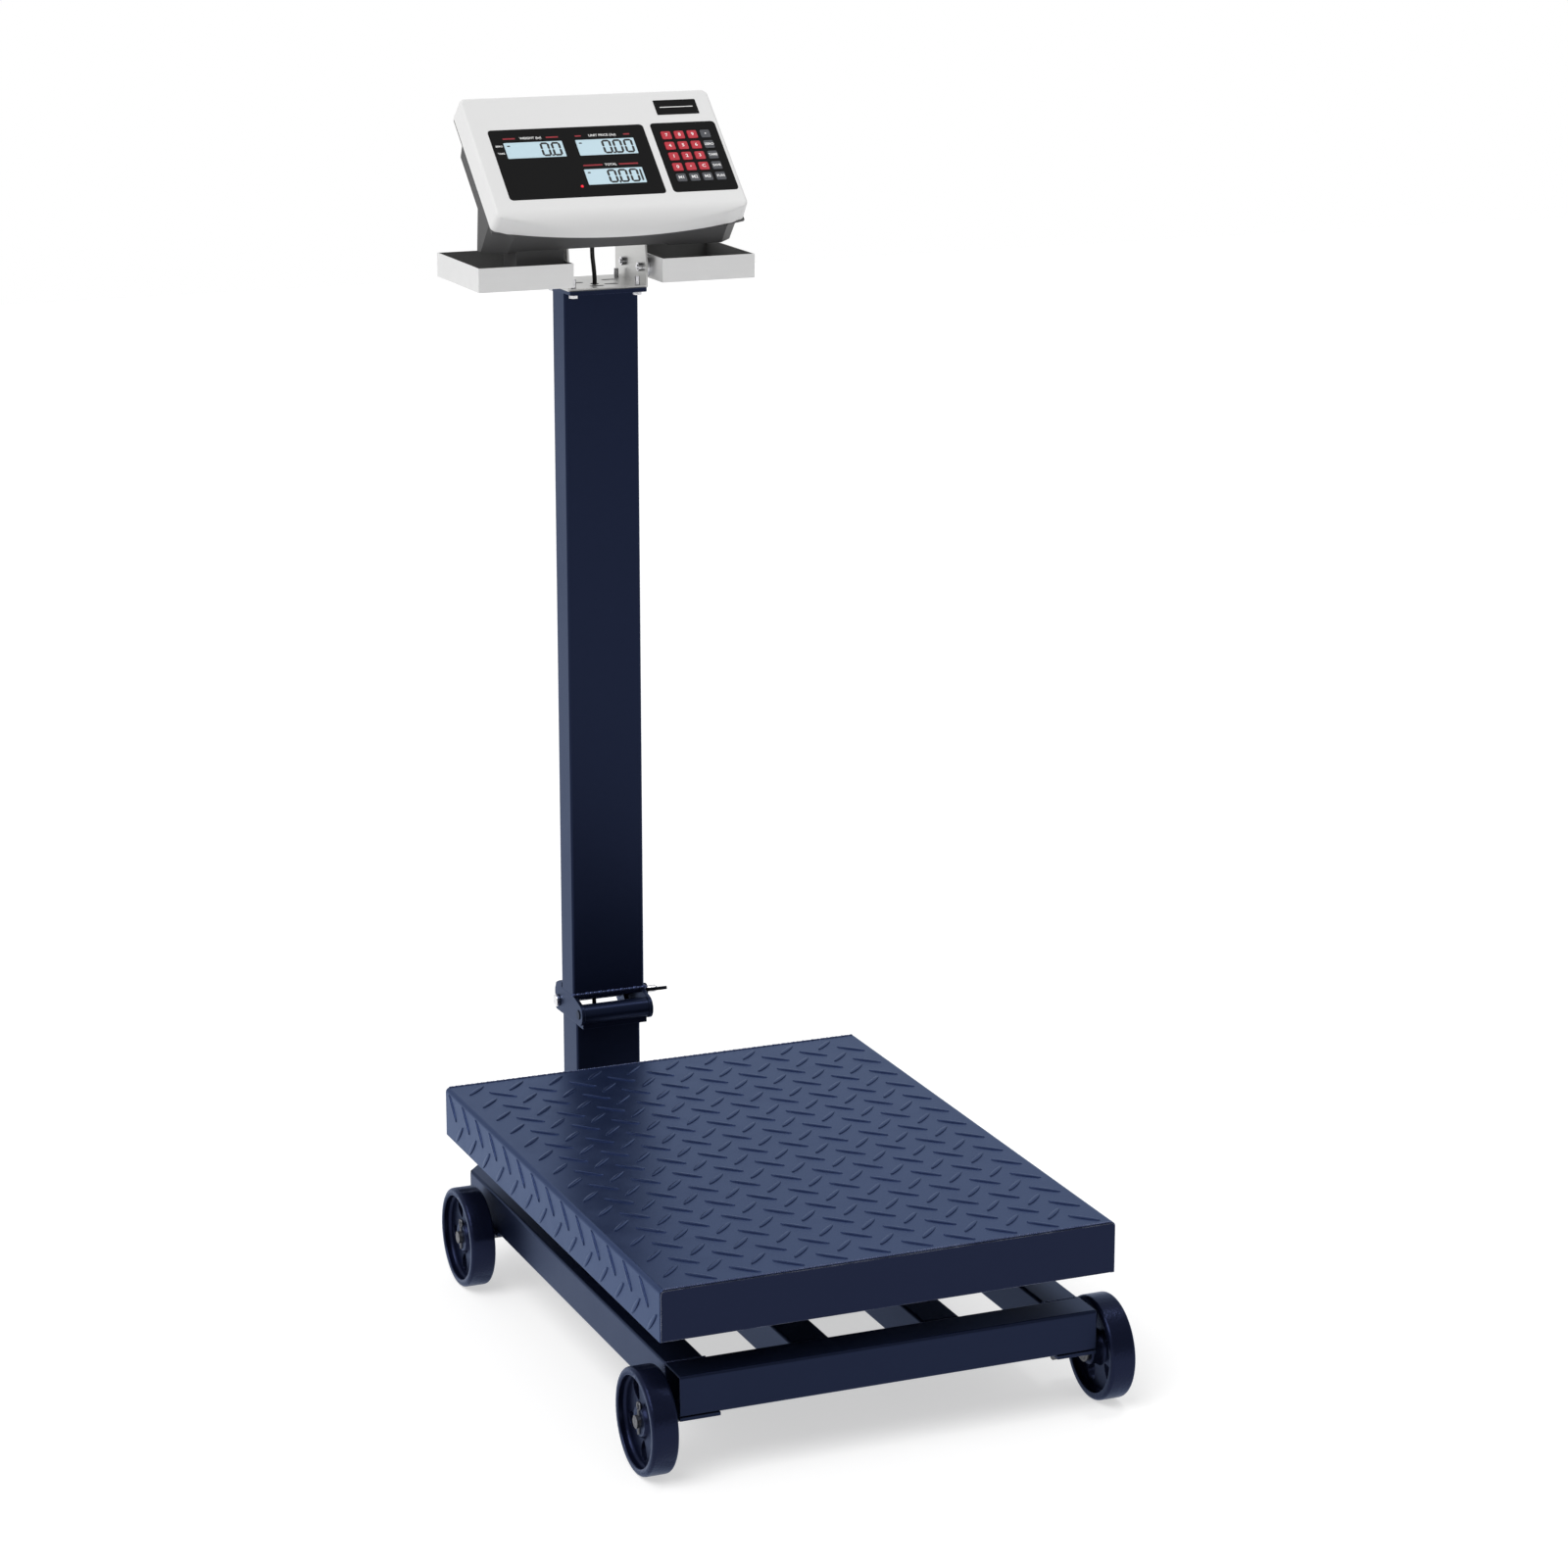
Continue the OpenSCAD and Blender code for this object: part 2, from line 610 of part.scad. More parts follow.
// side section of the front shell, as [depth behind the face, height up it]
module face_section(inset) {
    translate([-front_depth - 1, face_low + lip_r])
        square([front_depth + 1 - inset, head_h - lip_r - inset]);
    translate([-front_depth - 1, face_low + inset])
        square([front_depth + 1 - lip_r, lip_r + 1]);
    intersection() {
        translate([-lip_r, face_low + lip_r]) circle(lip_r - inset, $fn = 96);
        translate([-lip_r - eps, face_low]) square([lip_r, lip_r + 1]);
    }
}

module face_block(inset) intersection() {
    translate([0, 0, -front_depth - (inset > 0 ? 1 : 0)]) linear_extrude(front_depth + 5) face_outline(inset);
    translate([head_x - head_w / 2, 0, 0]) rotate([90, 0, 90]) linear_extrude(head_w)
        mirror([1, -1, 0]) face_section(inset);
}

// places of the panels on the face, as [x0, y0, x1, y1]
display_at = [-109, -56, 55, 35.5];
keypad_at = [63, -55.5, 132.5, 36];
lcd_at = [[-97, -2.5, -35, 19], [-21.5, -2.5, 41, 19], [-23, -41, 39, -20]];

module panel_shape(at, r) translate([(at[0] + at[2]) / 2, (at[1] + at[3]) / 2])
    round_rect(at[2] - at[0], at[3] - at[1], r);

// the key places, as [x, y] on the face
function key_place(col, row) = [key_cols[0] + col * key_pitch, key_first_v - row * (key_pitch + 0.1)];

// places of the screws that join the shells, and of the posts that carry the board
shell_screw_at = [[-118, 30], [132, 30], [-118, -20], [59, -20]];
board_post_at = [[-106, 47], [120, 47], [-106, -60], [120, -60]];

module front_shell() color("whitesmoke") on_face() {
    difference() {
        face_block(0);
        face_block(shell_wall);
        translate([0, 0, -panel_t]) linear_extrude(5) {
            panel_shape(display_at, 4);
            panel_shape(keypad_at, 4);
        }
        for (at = lcd_at) translate([0, 0, -10]) linear_extrude(20) panel_shape(at, 1);
        translate([0, 0, -10]) linear_extrude(20)
            translate([key_cols[0] - key_pitch / 2 - 1, key_first_v - 4.5 * key_pitch - 1.5])
                square([4 * key_pitch + 2, 5 * key_pitch + 2.5]);
    }
    for (p = shell_screw_at) translate([p[0], p[1], -front_depth]) linear_extrude(front_depth - 2)
        difference() {
            circle(d = shell_boss_d);
            circle(d = shell_screw_d);
        }
    for (p = board_post_at) translate([p[0], p[1], board_top]) cylinder(d = board_post_d, h = -board_top - 2);
}

// side section of the rear shell, as [height up the face, depth behind it]
module rear_section(inset) {
    w = inset;
    front = -front_depth + (w > 0 ? 1 : 0);
    polygon([[face_top - 5 - w, front], [face_top - 6 - w, -thin_depth + w],
        [step_top - w, -thin_depth + w], [step_low - w, -head_depth + w],
        [belly_top + 0.3 * w, -head_depth + w], [belly_at[0] + 0.5 * w, belly_at[1] + 1.2 * w],
        [face_low + 8 + 1.2 * w, belly_front + 0.3 * w], [face_low + 7 + w, front]]);
}

// outline of the rear shell seen square on, its lower corners cut off
module rear_outline(inset) {
    x = rear_w / 2 - inset;
    low = face_low + 5 + inset;
    cut = lower_corner - 0.6 * inset;
    translate([head_x, 0]) polygon([[-x, face_top], [-x, low + cut], [-x + cut, low], [x - cut, low],
        [x, low + cut], [x, face_top]]);
}

module rear_block(inset) intersection() {
    translate([head_x - rear_w / 2, 0, 0]) rotate([90, 0, 90]) linear_extrude(rear_w) rear_section(inset);
    translate([0, 0, -80]) linear_extrude(80) rear_outline(inset);
}

// flat rim that closes the front shell round the rear shell's mouth
module rear_rim() difference() {
    translate([0, 0, -front_depth - shell_wall]) linear_extrude(shell_wall) face_outline(0.4);
    rear_block(shell_wall);
}

// block about the tilt axis, in the scale's own directions, used to shape the pocket
module pocket_block(grow) on_face() rotate([head_lean - 90, 0, 0]) translate([0, -face_y, -face_z])
    translate([-pocket_w / 2 - grow, tilt_y - 30 - grow, tilt_z - 60]) cube([pocket_w + 2 * grow, 100, 80 + grow]);

module rear_shell() color("dimgray") {
    difference() {
        union() {
            on_face() rear_rim();
            on_face() difference() {
                rear_block(0);
                rear_block(shell_wall);
                for (p = shell_screw_at) translate([p[0], p[1], -head_depth - 1]) cylinder(d = shell_screw_d, h = 10);
            }
            intersection() {
                on_face() rear_block(0);
                pocket_block(shell_wall);
            }
        }
        pocket_block(0);
    }
    // two lugs hang from the pocket's roof beside the bracket's flanges
    placed() both_sides() translate([lug_out - lug_t, 0, 0]) rotate([90, 0, 90]) linear_extrude(lug_t)
        difference() {
            union() {
                translate([tilt_y - 12, tilt_z]) square([24, 21]);
                translate([tilt_y, tilt_z]) circle(12);
            }
            translate([tilt_y, tilt_z]) circle(d = tilt_bolt_d + 0.1);
        }
    // connector box under the left side
    placed() translate([-100, tilt_y - 30, tilt_z - 32]) cube([50, 38, 20]);
}

module display_panel() color("black") on_face() difference() {
    translate([0, 0, -panel_t]) linear_extrude(panel_t + 0.3) panel_shape(display_at, 4);
    for (at = lcd_at) translate([0, 0, -5]) linear_extrude(10) panel_shape(at, 1);
}

module lcd_modules() color("lightsteelblue") on_face()
    for (at = lcd_at) translate([0, 0, -7]) linear_extrude(7)
        panel_shape([at[0] + free_gap, at[1] + free_gap, at[2] - free_gap, at[3] - free_gap], 0.8);

module keypad_panel() color("black") on_face() difference() {
    translate([0, 0, -panel_t]) linear_extrude(panel_t + 0.3) panel_shape(keypad_at, 4);
    for (row = [0:4], col = [0:3]) translate(concat(key_place(col, row), -5))
        linear_extrude(10) round_rect(key_w + 2 * free_gap, key_w + 2 * free_gap, 1.5);
}

// one key: a cap through the panel and a flange that holds it behind the panel
module key(col, row) color(row < 4 && col < 3 ? "crimson" : "darkslategray") on_face()
    translate(concat(key_place(col, row), 0)) {
        translate([0, 0, -panel_t - key_foot]) linear_extrude(panel_t + key_foot + 0.8) round_rect(key_w, key_w, 1.5);
        translate([0, 0, -panel_t - key_foot]) linear_extrude(key_foot - 0.1) round_rect(flange_w, flange_w, 1.5);
    }

module circuit_board() color("darkgreen") on_face() {
    difference() {
        translate([board_at[0], board_at[1], board_top - board_t])
            cube([board_at[2] - board_at[0], board_at[3] - board_at[1], board_t]);
        translate([shell_screw_at[3][0], shell_screw_at[3][1], board_top - 3]) cylinder(d = shell_boss_d + 1, h = 5);
    }
    for (at = lcd_at) translate([at[0] + 3, at[1] + 3, board_top - eps])
        cube([at[2] - at[0] - 6, at[3] - at[1] - 6, 1 + eps]);
    for (row = [0:4], col = [0:3]) translate(concat(key_place(col, row), board_top - eps))
        cylinder(d = 5, h = -board_top - panel_t - key_foot - key_travel - 0.1);
}

module battery_pack() color("darkslategray") on_face()
    translate([-110, -24, -head_depth + shell_wall]) cube([98, 58, 25]);

module shell_screws() color("silver") on_face() for (p = shell_screw_at) {
    translate([p[0], p[1], -head_depth - 2]) cylinder(d = 2 * shell_screw_d, h = 2);
    translate([p[0], p[1], -head_depth - eps]) cylinder(d = shell_screw_d, h = head_depth - 6);
}

// ---------- the adjusting knobs of the head ----------

module tilt_knob() placed() {
    difference() {
        rod_x(flange_out + 1, flange_out + 13, tilt_y, tilt_z, 22);
        for (i = [0:7]) rotate_about_tilt(i * 45) rod_x(flange_out, flange_out + 14, tilt_y + 12.5, tilt_z, 6);
    }
    rod_x(lug_out - lug_t - 3, flange_out + 2, tilt_y, tilt_z, tilt_bolt_d);
}

module rotate_about_tilt(a)
    translate([0, tilt_y, tilt_z]) rotate([a, 0, 0]) translate([0, -tilt_y, -tilt_z]) children();

module tilt_knob_right() color("black") tilt_knob();
module tilt_knob_left() color("black") mirror([1, 0, 0]) tilt_knob();

// ---------- signal cable ----------

// eight-sided ring about point c, in the plane between directions a and b
function ring(c, a, b) = [for (i = [0:7]) c + cable_d / 2 * (cos(45 * i) * a + sin(45 * i) * b)];

function unit(v) = v / norm(v);

// direction of travel at point i of a route
function heading(route, i) = unit(route[min(i + 1, len(route) - 1)] - route[max(i - 1, 0)]);

// round cable through the points of a route, as one closed tube; side is any
// direction that the route never runs along
module cable_run(route, side) {
    rings = [for (i = [0:len(route) - 1]) let(t = heading(route, i), a = unit(cross(side, t)), b = cross(t, a))
        ring(route[i], a, b)];
    last = len(route) - 1;
    polyhedron(
        points = [for (r = rings) for (q = r) q],
        faces = concat(
            [[for (i = [7:-1:0]) i], [for (i = [0:7]) last * 8 + i]],
            [for (k = [0:last - 1], i = [0:7])
                [k * 8 + i, k * 8 + (i + 1) % 8, (k + 1) * 8 + (i + 1) % 8, (k + 1) * 8 + i]]));
}

module base_cable() color("black") placed() cable_run(base_route, [1, 0, 0]);
module hinge_cable() color("black") placed() cable_run(hinge_route, [1, 0, 0]);
module mast_cable() color("black") placed() cable_run(mast_route, [1, 0, 0]);
module head_cable() color("black") placed() cable_run(head_route, [1, 0, 0]);

// ---------- every node ----------

cross_beams();
long_rails();
rear_struts();
axle_brackets();
axles();
axle_retainers();
lower_post();
load_cell();
cell_plates();
cell_screws();
spider_frame();
rubber_pads();
base_cable();
wheel(-1, -front_axle);  // wheel_front_left
wheel(1, -front_axle);  // wheel_front_right
wheel(-1, rear_axle);  // wheel_rear_left
wheel(1, rear_axle);  // wheel_rear_right
platform_cover();
upper_post();
ear_plates();
pivot_pin();
latch_bolt();
cap_plate();
head_bracket();
trays();
bracket_screws();
mast_cable();
hinge_cable();
wing_nut();
tilt_knob_left();
tilt_knob_right();
front_shell();
rear_shell();
display_panel();
lcd_modules();
keypad_panel();
circuit_board();
battery_pack();
shell_screws();
head_cable();
key(0, 0);  // key_7
key(1, 0);  // key_8
key(2, 0);  // key_9
key(3, 0);  // key_clear
key(0, 1);  // key_4
key(1, 1);  // key_5
key(2, 1);  // key_6
key(3, 1);  // key_zero_set
key(0, 2);  // key_1
key(1, 2);  // key_2
key(2, 2);  // key_3
key(3, 2);  // key_tare
key(0, 3);  // key_0
key(1, 3);  // key_point
key(2, 3);  // key_c
key(3, 3);  // key_save
key(0, 4);  // key_m1
key(1, 4);  // key_m2
key(2, 4);  // key_m3
key(3, 4);  // key_add
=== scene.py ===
import bpy
import bmesh
import json
import math
from mathutils import Matrix, Vector


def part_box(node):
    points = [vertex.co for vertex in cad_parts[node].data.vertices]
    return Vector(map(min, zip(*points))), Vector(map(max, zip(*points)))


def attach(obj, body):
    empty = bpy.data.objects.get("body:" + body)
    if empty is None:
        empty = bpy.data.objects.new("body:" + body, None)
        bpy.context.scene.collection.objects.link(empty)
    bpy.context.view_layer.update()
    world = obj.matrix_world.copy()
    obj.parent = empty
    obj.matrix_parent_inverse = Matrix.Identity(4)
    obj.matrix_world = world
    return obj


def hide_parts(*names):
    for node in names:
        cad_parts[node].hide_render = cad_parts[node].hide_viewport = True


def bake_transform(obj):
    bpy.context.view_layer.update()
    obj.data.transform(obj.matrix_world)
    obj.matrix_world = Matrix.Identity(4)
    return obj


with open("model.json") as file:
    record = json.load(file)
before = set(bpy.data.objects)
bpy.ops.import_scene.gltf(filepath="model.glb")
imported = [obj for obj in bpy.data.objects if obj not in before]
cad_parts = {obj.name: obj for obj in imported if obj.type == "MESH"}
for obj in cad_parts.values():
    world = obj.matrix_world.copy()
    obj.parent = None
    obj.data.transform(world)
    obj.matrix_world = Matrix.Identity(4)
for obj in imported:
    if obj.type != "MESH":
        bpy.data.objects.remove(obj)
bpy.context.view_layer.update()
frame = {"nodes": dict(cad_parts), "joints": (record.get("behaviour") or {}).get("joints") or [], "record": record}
MM = 0.001
BODIES = frame["record"]["behaviour"]["bodies"]
BODY_OF = {node: body for body, members in BODIES.items() for node in members}
SLOT_OF = {part["node"]: part["material_slot"] for part in frame["record"]["subparts"]}
JOINT = {joint["name"]: joint for joint in frame["joints"]}

# ---------------------------------------------------------------- places taken from the frame
DECK_LOW, DECK_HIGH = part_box("platform_cover")
DECK_MID = (DECK_LOW + DECK_HIGH) / 2
POST_LOW, POST_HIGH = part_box("upper_post")
TILT = Vector(JOINT["head_tilt"]["pos_m"])
FACE_LEAN = math.radians(48)
FACE_RISE = 76 * MM
# carries the face's own frame, X across, Y up the face and Z out of it, to the scale
FACE_TURN = Matrix.Rotation(math.pi / 2 - FACE_LEAN, 4, "X")
ON_FACE = Matrix.Translation(TILT + Vector((0, 0, FACE_RISE))) @ FACE_TURN


# ---------------------------------------------------------------- materials
class Value:
    """One number of a material's network, with ordinary arithmetic."""

    def __init__(self, paint, socket):
        self.paint = paint
        self.socket = socket

    def _maths(self, kind, other, swapped=False):
        pair = [other, self] if swapped else [self, other]
        return self.paint.node("ShaderNodeMath", {"operation": kind}, pair)

    def __add__(self, other):
        return self._maths("ADD", other)

    def __sub__(self, other):
        return self._maths("SUBTRACT", other)

    def __rsub__(self, other):
        return self._maths("SUBTRACT", other, swapped=True)

    def __mul__(self, other):
        return self._maths("MULTIPLY", other)

    __radd__ = __add__
    __rmul__ = __mul__


class Paint:
    """A material under construction: its node tree and its shader."""

    def __init__(self, name):
        self.material = bpy.data.materials.new(name)
        self.material.use_nodes = True
        self.tree = self.material.node_tree
        self.shader = self.tree.nodes["Principled BSDF"]
        self.place = self.node("ShaderNodeTexCoord", output="Object")

    def node(self, kind, settings=None, sockets=(), output=0):
        """Adds a node, its settings first and then its sockets, and returns one output."""
        made = self.tree.nodes.new(kind)
        for key, value in (settings or {}).items():
            if key == "stops":
                self._stops(made.color_ramp, value)
            else:
                setattr(made, key, value)
        pairs = sockets.items() if isinstance(sockets, dict) else enumerate(sockets)
        for key, value in pairs:
            if isinstance(value, Value):
                self.tree.links.new(value.socket, made.inputs[key])
            else:
                made.inputs[key].default_value = value
        return Value(self, made.outputs[output])

    @staticmethod
    def _stops(ramp, stops):
        while len(ramp.elements) < len(stops):
            ramp.elements.new(0.5)
        for element, (position, grey) in zip(ramp.elements, stops):
            element.position = position
            element.color = (grey, grey, grey, 1)

    def stretched(self, stretch):
        return self.node("ShaderNodeMapping", None, {"Vector": self.place, "Scale": stretch})

    def noise(self, scale, detail=3.0, roughness=0.55, stretch=None):
        """Noise from 0 to 1 whose lumps are about 1 / scale of a metre."""
        where = self.stretched(stretch) if stretch else self.place
        sockets = {"Vector": where, "Scale": scale, "Detail": detail, "Roughness": roughness}
        return self.node("ShaderNodeTexNoise", None, sockets, output="Fac")

    def cells(self, scale):
        sockets = {"Vector": self.place, "Scale": scale}
        return self.node("ShaderNodeTexVoronoi", None, sockets, output="Distance")

    def ramp(self, value, stops):
        return self.node("ShaderNodeValToRGB", {"stops": stops}, [value])

    def mixed(self, factor, first, second):
        """The first colour where factor is 0 and the second where it is 1."""
        made = self.tree.nodes.new("ShaderNodeMix")
        made.data_type = "RGBA"
        for index, value in ((0, factor), (6, first), (7, second)):
            if isinstance(value, Value):
                self.tree.links.new(value.socket, made.inputs[index])
            else:
                made.inputs[index].default_value = value
        return Value(self, made.outputs[2])

    def edges(self, reach_mm=1.2):
        """About 1 within a reach of an edge and 0 on flats."""
        rounded = self.node("ShaderNodeBevel", {"samples": 4}, {"Radius": reach_mm * MM})
        flat = self.node("ShaderNodeNewGeometry", output="Normal")
        agree = self.node("ShaderNodeVectorMath", {"operation": "DOT_PRODUCT"}, [rounded, flat],
                          output="Value")
        return self.ramp(agree, [(0.86, 1.0), (0.995, 0.0)])

    def bump(self, height, strength, depth_mm):
        sockets = {"Height": height, "Strength": strength, "Distance": depth_mm * MM}
        return self.node("ShaderNodeBump", None, sockets, output="Normal")

    def finish(self, varying, fixed=None):
        """Feeds the shader: sockets that vary over the surface, then those that don't."""
        for key, value in varying.items():
            self.tree.links.new(value.socket, self.shader.inputs[key])
        for key, value in (fixed or {}).items():
            self.shader.inputs[key].default_value = value
        return self.material


def rgb(red, green, blue):
    """A colour given as it looks on screen, 0 to 255, as the shader wants it."""
    def linear(level):
        share = level / 255
        return share / 12.92 if share <= 0.04045 else ((share + 0.055) / 1.055) ** 2.4
    return (linear(red), linear(green), linear(blue), 1)


PAINT_FLAKE = 0.7
PAINT_SHEEN = (0.66, 0.76, 1.0, 1)
DECK_SHEEN = (0.66, 0.78, 1.0, 1)


def powder_coat(name, colour, wear_and_edge_highlight, dusty, roughness, peel=0.5, casting=0.0):
    """Sprayed metallic-dark paint: orange peel, faint dust, and lighter edges: rubbed wear, and on the deck's end
    skirts a painted highlight.
    """
    paint = Paint(name)
    cloud = paint.noise(9, 4)
    fine = paint.noise(900, 2)
    edge_mask = paint.edges() * paint.ramp(paint.noise(60, 5), [(0.35, 0.15), (0.65, 0.8)])
    base = paint.mixed(cloud, colour, dusty)
    base = paint.mixed(edge_mask * 0.6, base, wear_and_edge_highlight)
    height = fine * peel + paint.noise(160, 3) * (peel + casting) + paint.cells(420) * casting
    return paint.finish({"Base Color": base,
                         "Roughness": roughness + (cloud - 0.5) * 0.12 + fine * 0.06,
                         "Normal": paint.bump(height, 0.3, 0.12 + casting * 0.4)},
                        {"Metallic": PAINT_FLAKE, "Specular IOR Level": 0.2, "Specular Tint": PAINT_SHEEN})


def brushed(name, colour, dark, roughness, stretch, metallic=1.0):
    """Bare sheet metal with fine lines along one direction."""
    paint = Paint(name)
    lines = paint.noise(90, 6, 0.7, stretch)
    stain = paint.noise(14, 4)
    base = paint.mixed(stain * 0.35 + lines * 0.25, colour, dark)
    return paint.finish({"Base Color": base,
                         "Roughness": roughness + lines * 0.16 + stain * 0.08,
                         "Normal": paint.bump(lines, 0.12, 0.05)},
                        {"Metallic": metallic})


def plated(name, colour, dark, roughness):
    """Screws and pins: plated steel, a little blotched."""
    paint = Paint(name)
    blotch = paint.noise(300, 4)
    base = paint.mixed(paint.ramp(blotch, [(0.4, 0.0), (0.75, 1.0)]), colour, dark)
    return paint.finish({"Base Color": base, "Roughness": roughness + blotch * 0.2,
                         "Normal": paint.bump(blotch, 0.15, 0.05)}, {"Metallic": 1.0})


def moulded(name, colour, scuffed, roughness, grain_mm=0.06, shine=0.35):
    """Moulded plastic: spark texture and slightly scuffed edges."""
    paint = Paint(name)
    grain = paint.noise(1400, 2)
    cloud = paint.noise(18, 3)
    edge_mask = paint.edges(0.6) * 0.3
    base = paint.mixed(edge_mask + cloud * 0.12, colour, scuffed)
    return paint.finish({"Base Color": base, "Roughness": roughness + grain * 0.12 + cloud * 0.05,
                         "Normal": paint.bump(grain, 0.25, grain_mm)}, {"Specular IOR Level": shine})


def printed(name, colour, faded, roughness, glow=0.0):
    """Ink, labels and display glass: nearly flat, with faint mottling."""
    paint = Paint(name)
    mottle = paint.noise(220, 3)
    base = paint.mixed(mottle * 0.5, colour, faded)
    fixed = {"Emission Color": colour, "Emission Strength": glow}
    return paint.finish({"Base Color": base, "Roughness": roughness + mottle * 0.1,
                         "Normal": paint.bump(mottle, 0.05, 0.03)}, fixed)


def deck_coat():
    """Paint on the tread plate: glossier than the tubes, with scuffed lugs and faint shoe dust."""
    paint = Paint("deck_blue_coat")
    cloud = paint.noise(6, 5)
    dust = paint.ramp(paint.noise(35, 6), [(0.45, 0.0), (0.8, 1.0)])
    fine = paint.noise(700, 3)
    edge_mask = paint.edges(0.25) * 0.2
    base = paint.mixed(cloud, rgb(38, 50, 82), rgb(42, 54, 90))
    base = paint.mixed(dust * 0.12, base, rgb(80, 92, 122))
    base = paint.mixed(edge_mask, base, rgb(110, 124, 158))
    return paint.finish({"Base Color": base,
                         "Roughness": 0.27 + dust * 0.08 + fine * 0.06,
                         "Normal": paint.bump(fine + paint.noise(110, 3), 0.25, 0.1)},
                        {"Metallic": PAINT_FLAKE,
                         "Specular IOR Level": 0.25,
                         "Specular Tint": DECK_SHEEN})


NAVY = powder_coat("navy_powder_coat", rgb(25, 32, 53), rgb(78, 88, 116), rgb(28, 35, 58), 0.3)
# the skirts' near-white edge colour is a painted highlight along their rounded top edges, standing in for the
# bright sky they reflect; the other coats' lighter edges are wear
SKIRT_NAVY = powder_coat("deck_end_coat", rgb(26, 32, 54), rgb(200, 208, 228), rgb(28, 34, 57), 0.32)
CAST_NAVY = powder_coat("wheel_casting_coat", rgb(22, 27, 48), rgb(70, 78, 108), rgb(26, 31, 54), 0.27,
                        peel=0.7, casting=0.8)
# weld beads coated a lighter navy than the tubes: a painted highlight for the light their lumpy surface catches
HIGHLIT_WELD = powder_coat("weld_bead_painted_highlight_coat", rgb(52, 61, 92), rgb(140, 148, 172), rgb(66, 75, 108), 0.24, 0.9, 0.4)
DECK = deck_coat()
STEEL_TRAY = brushed("brushed_tray_steel", rgb(236, 236, 236), rgb(214, 214, 214), 0.3, (0.04, 1, 1), 0.8)
# a darker copy of the tray steel for the trays' insides: painted shade; the outsides keep the pale copy above
STEEL_SHADED_INSIDE = brushed("tray_steel_painted_shade", rgb(150, 150, 150), rgb(112, 112, 112), 0.34, (1, 0.04, 1), 0.7)
STEEL_BRACKET = brushed("brushed_bracket_steel", rgb(220, 220, 218), rgb(180, 180, 180), 0.26, (1, 0.05, 1))
ALUMINIUM = brushed("milled_aluminium", rgb(205, 207, 210), rgb(165, 168, 172), 0.32, (1, 0.1, 1))
ZINC = plated("zinc_plate", rgb(200, 200, 196), rgb(150, 150, 145), 0.28)
DULL_ZINC = plated("dull_zinc", rgb(104, 106, 112), rgb(60, 62, 70), 0.35)
CHROME = plated("bright_chrome", rgb(235, 235, 238), rgb(190, 190, 195), 0.1)
IRON = powder_coat("black_iron", rgb(20, 22, 30), rgb(80, 82, 92), rgb(28, 30, 40), 0.34, 0.8, 0.6)
LIGHT_SHELL = moulded("light_grey_shell", rgb(222, 222, 222), rgb(208, 208, 206), 0.4)
DARK_SHELL = moulded("dark_grey_shell", rgb(74, 74, 75), rgb(98, 98, 98), 0.5)
BLACK_PLASTIC = moulded("black_plastic", rgb(26, 26, 27), rgb(60, 60, 60), 0.45)
OVERLAY = moulded("black_overlay", rgb(6, 6, 7), rgb(12, 12, 13), 0.6, 0.02, 0.15)
RUBBER = moulded("black_rubber", rgb(22, 22, 22), rgb(44, 44, 44), 0.7, 0.12)
CABLE = moulded("cable_jacket", rgb(14, 14, 15), rgb(34, 34, 34), 0.4, 0.03)
BOARD = moulded("board_solder_mask", rgb(16, 72, 40), rgb(30, 96, 60), 0.35, 0.03)
LCD = printed("backlit_display", rgb(186, 210, 220), rgb(178, 202, 214), 0.4, 0.08)
INK_BLACK = printed("display_segments", rgb(8, 10, 12), rgb(14, 16, 20), 0.5)
INK_WHITE = printed("white_print", rgb(240, 240, 240), rgb(222, 222, 222), 0.5)
INK_RED = printed("red_print", rgb(150, 18, 36), rgb(130, 16, 30), 0.5)
KEY_RED = printed("red_key_cap", rgb(184, 18, 44), rgb(165, 16, 38), 0.35)
KEY_GREY = printed("grey_key_cap", rgb(66, 68, 74), rgb(56, 58, 63), 0.42)
LAMP_RED = printed("red_lamp", rgb(235, 30, 50), rgb(210, 20, 40), 0.2, 0.6)

SLOT_PAINT = {"navy_paint": NAVY, "wheel_paint": CAST_NAVY, "tread_paint": DECK, "zinc_steel": ZINC,
              "bright_chrome": CHROME, "dark_iron": IRON, "stainless": STEEL_BRACKET,
              "cell_aluminium": ALUMINIUM, "black_rubber": RUBBER, "cable_black": CABLE,
              "black_plastic": BLACK_PLASTIC, "light_plastic": LIGHT_SHELL, "grey_plastic": DARK_SHELL,
              "panel_black": OVERLAY, "lcd_glass": LCD, "key_red": KEY_RED, "key_grey": KEY_GREY,
              "board_green": BOARD}


# ---------------------------------------------------------------- modelling by hand
def nothing_selected():
    bpy.ops.object.select_all(action="DESELECT")


def only(piece):
    nothing_selected()
    piece.select_set(True)
    bpy.context.view_layer.objects.active = piece
    return piece


def edit(piece, kind="FACE"):
    only(piece)
    bpy.ops.object.mode_set(mode="EDIT")
    bpy.ops.mesh.select_mode(type=kind)
    bpy.ops.mesh.select_all(action="DESELECT")
    return bmesh.from_edit_mesh(piece.data)


def done():
    bpy.ops.object.mode_set(mode="OBJECT")


def pick(piece, kind, test):
    """Selects the faces or edges of a piece whose middle and normal pass the test."""
    grid = edit(piece, kind)
    for item in grid.faces if kind == "FACE" else grid.edges:
        if kind == "FACE":
            item.select_set(test(item.calc_center_median(), item.normal))
        else:
            a, b = (v.co for v in item.verts)
            item.select_set(test((a + b) / 2, (b - a).normalized()))
    grid.select_flush_mode()
    bmesh.update_edit_mesh(piece.data)
    return piece


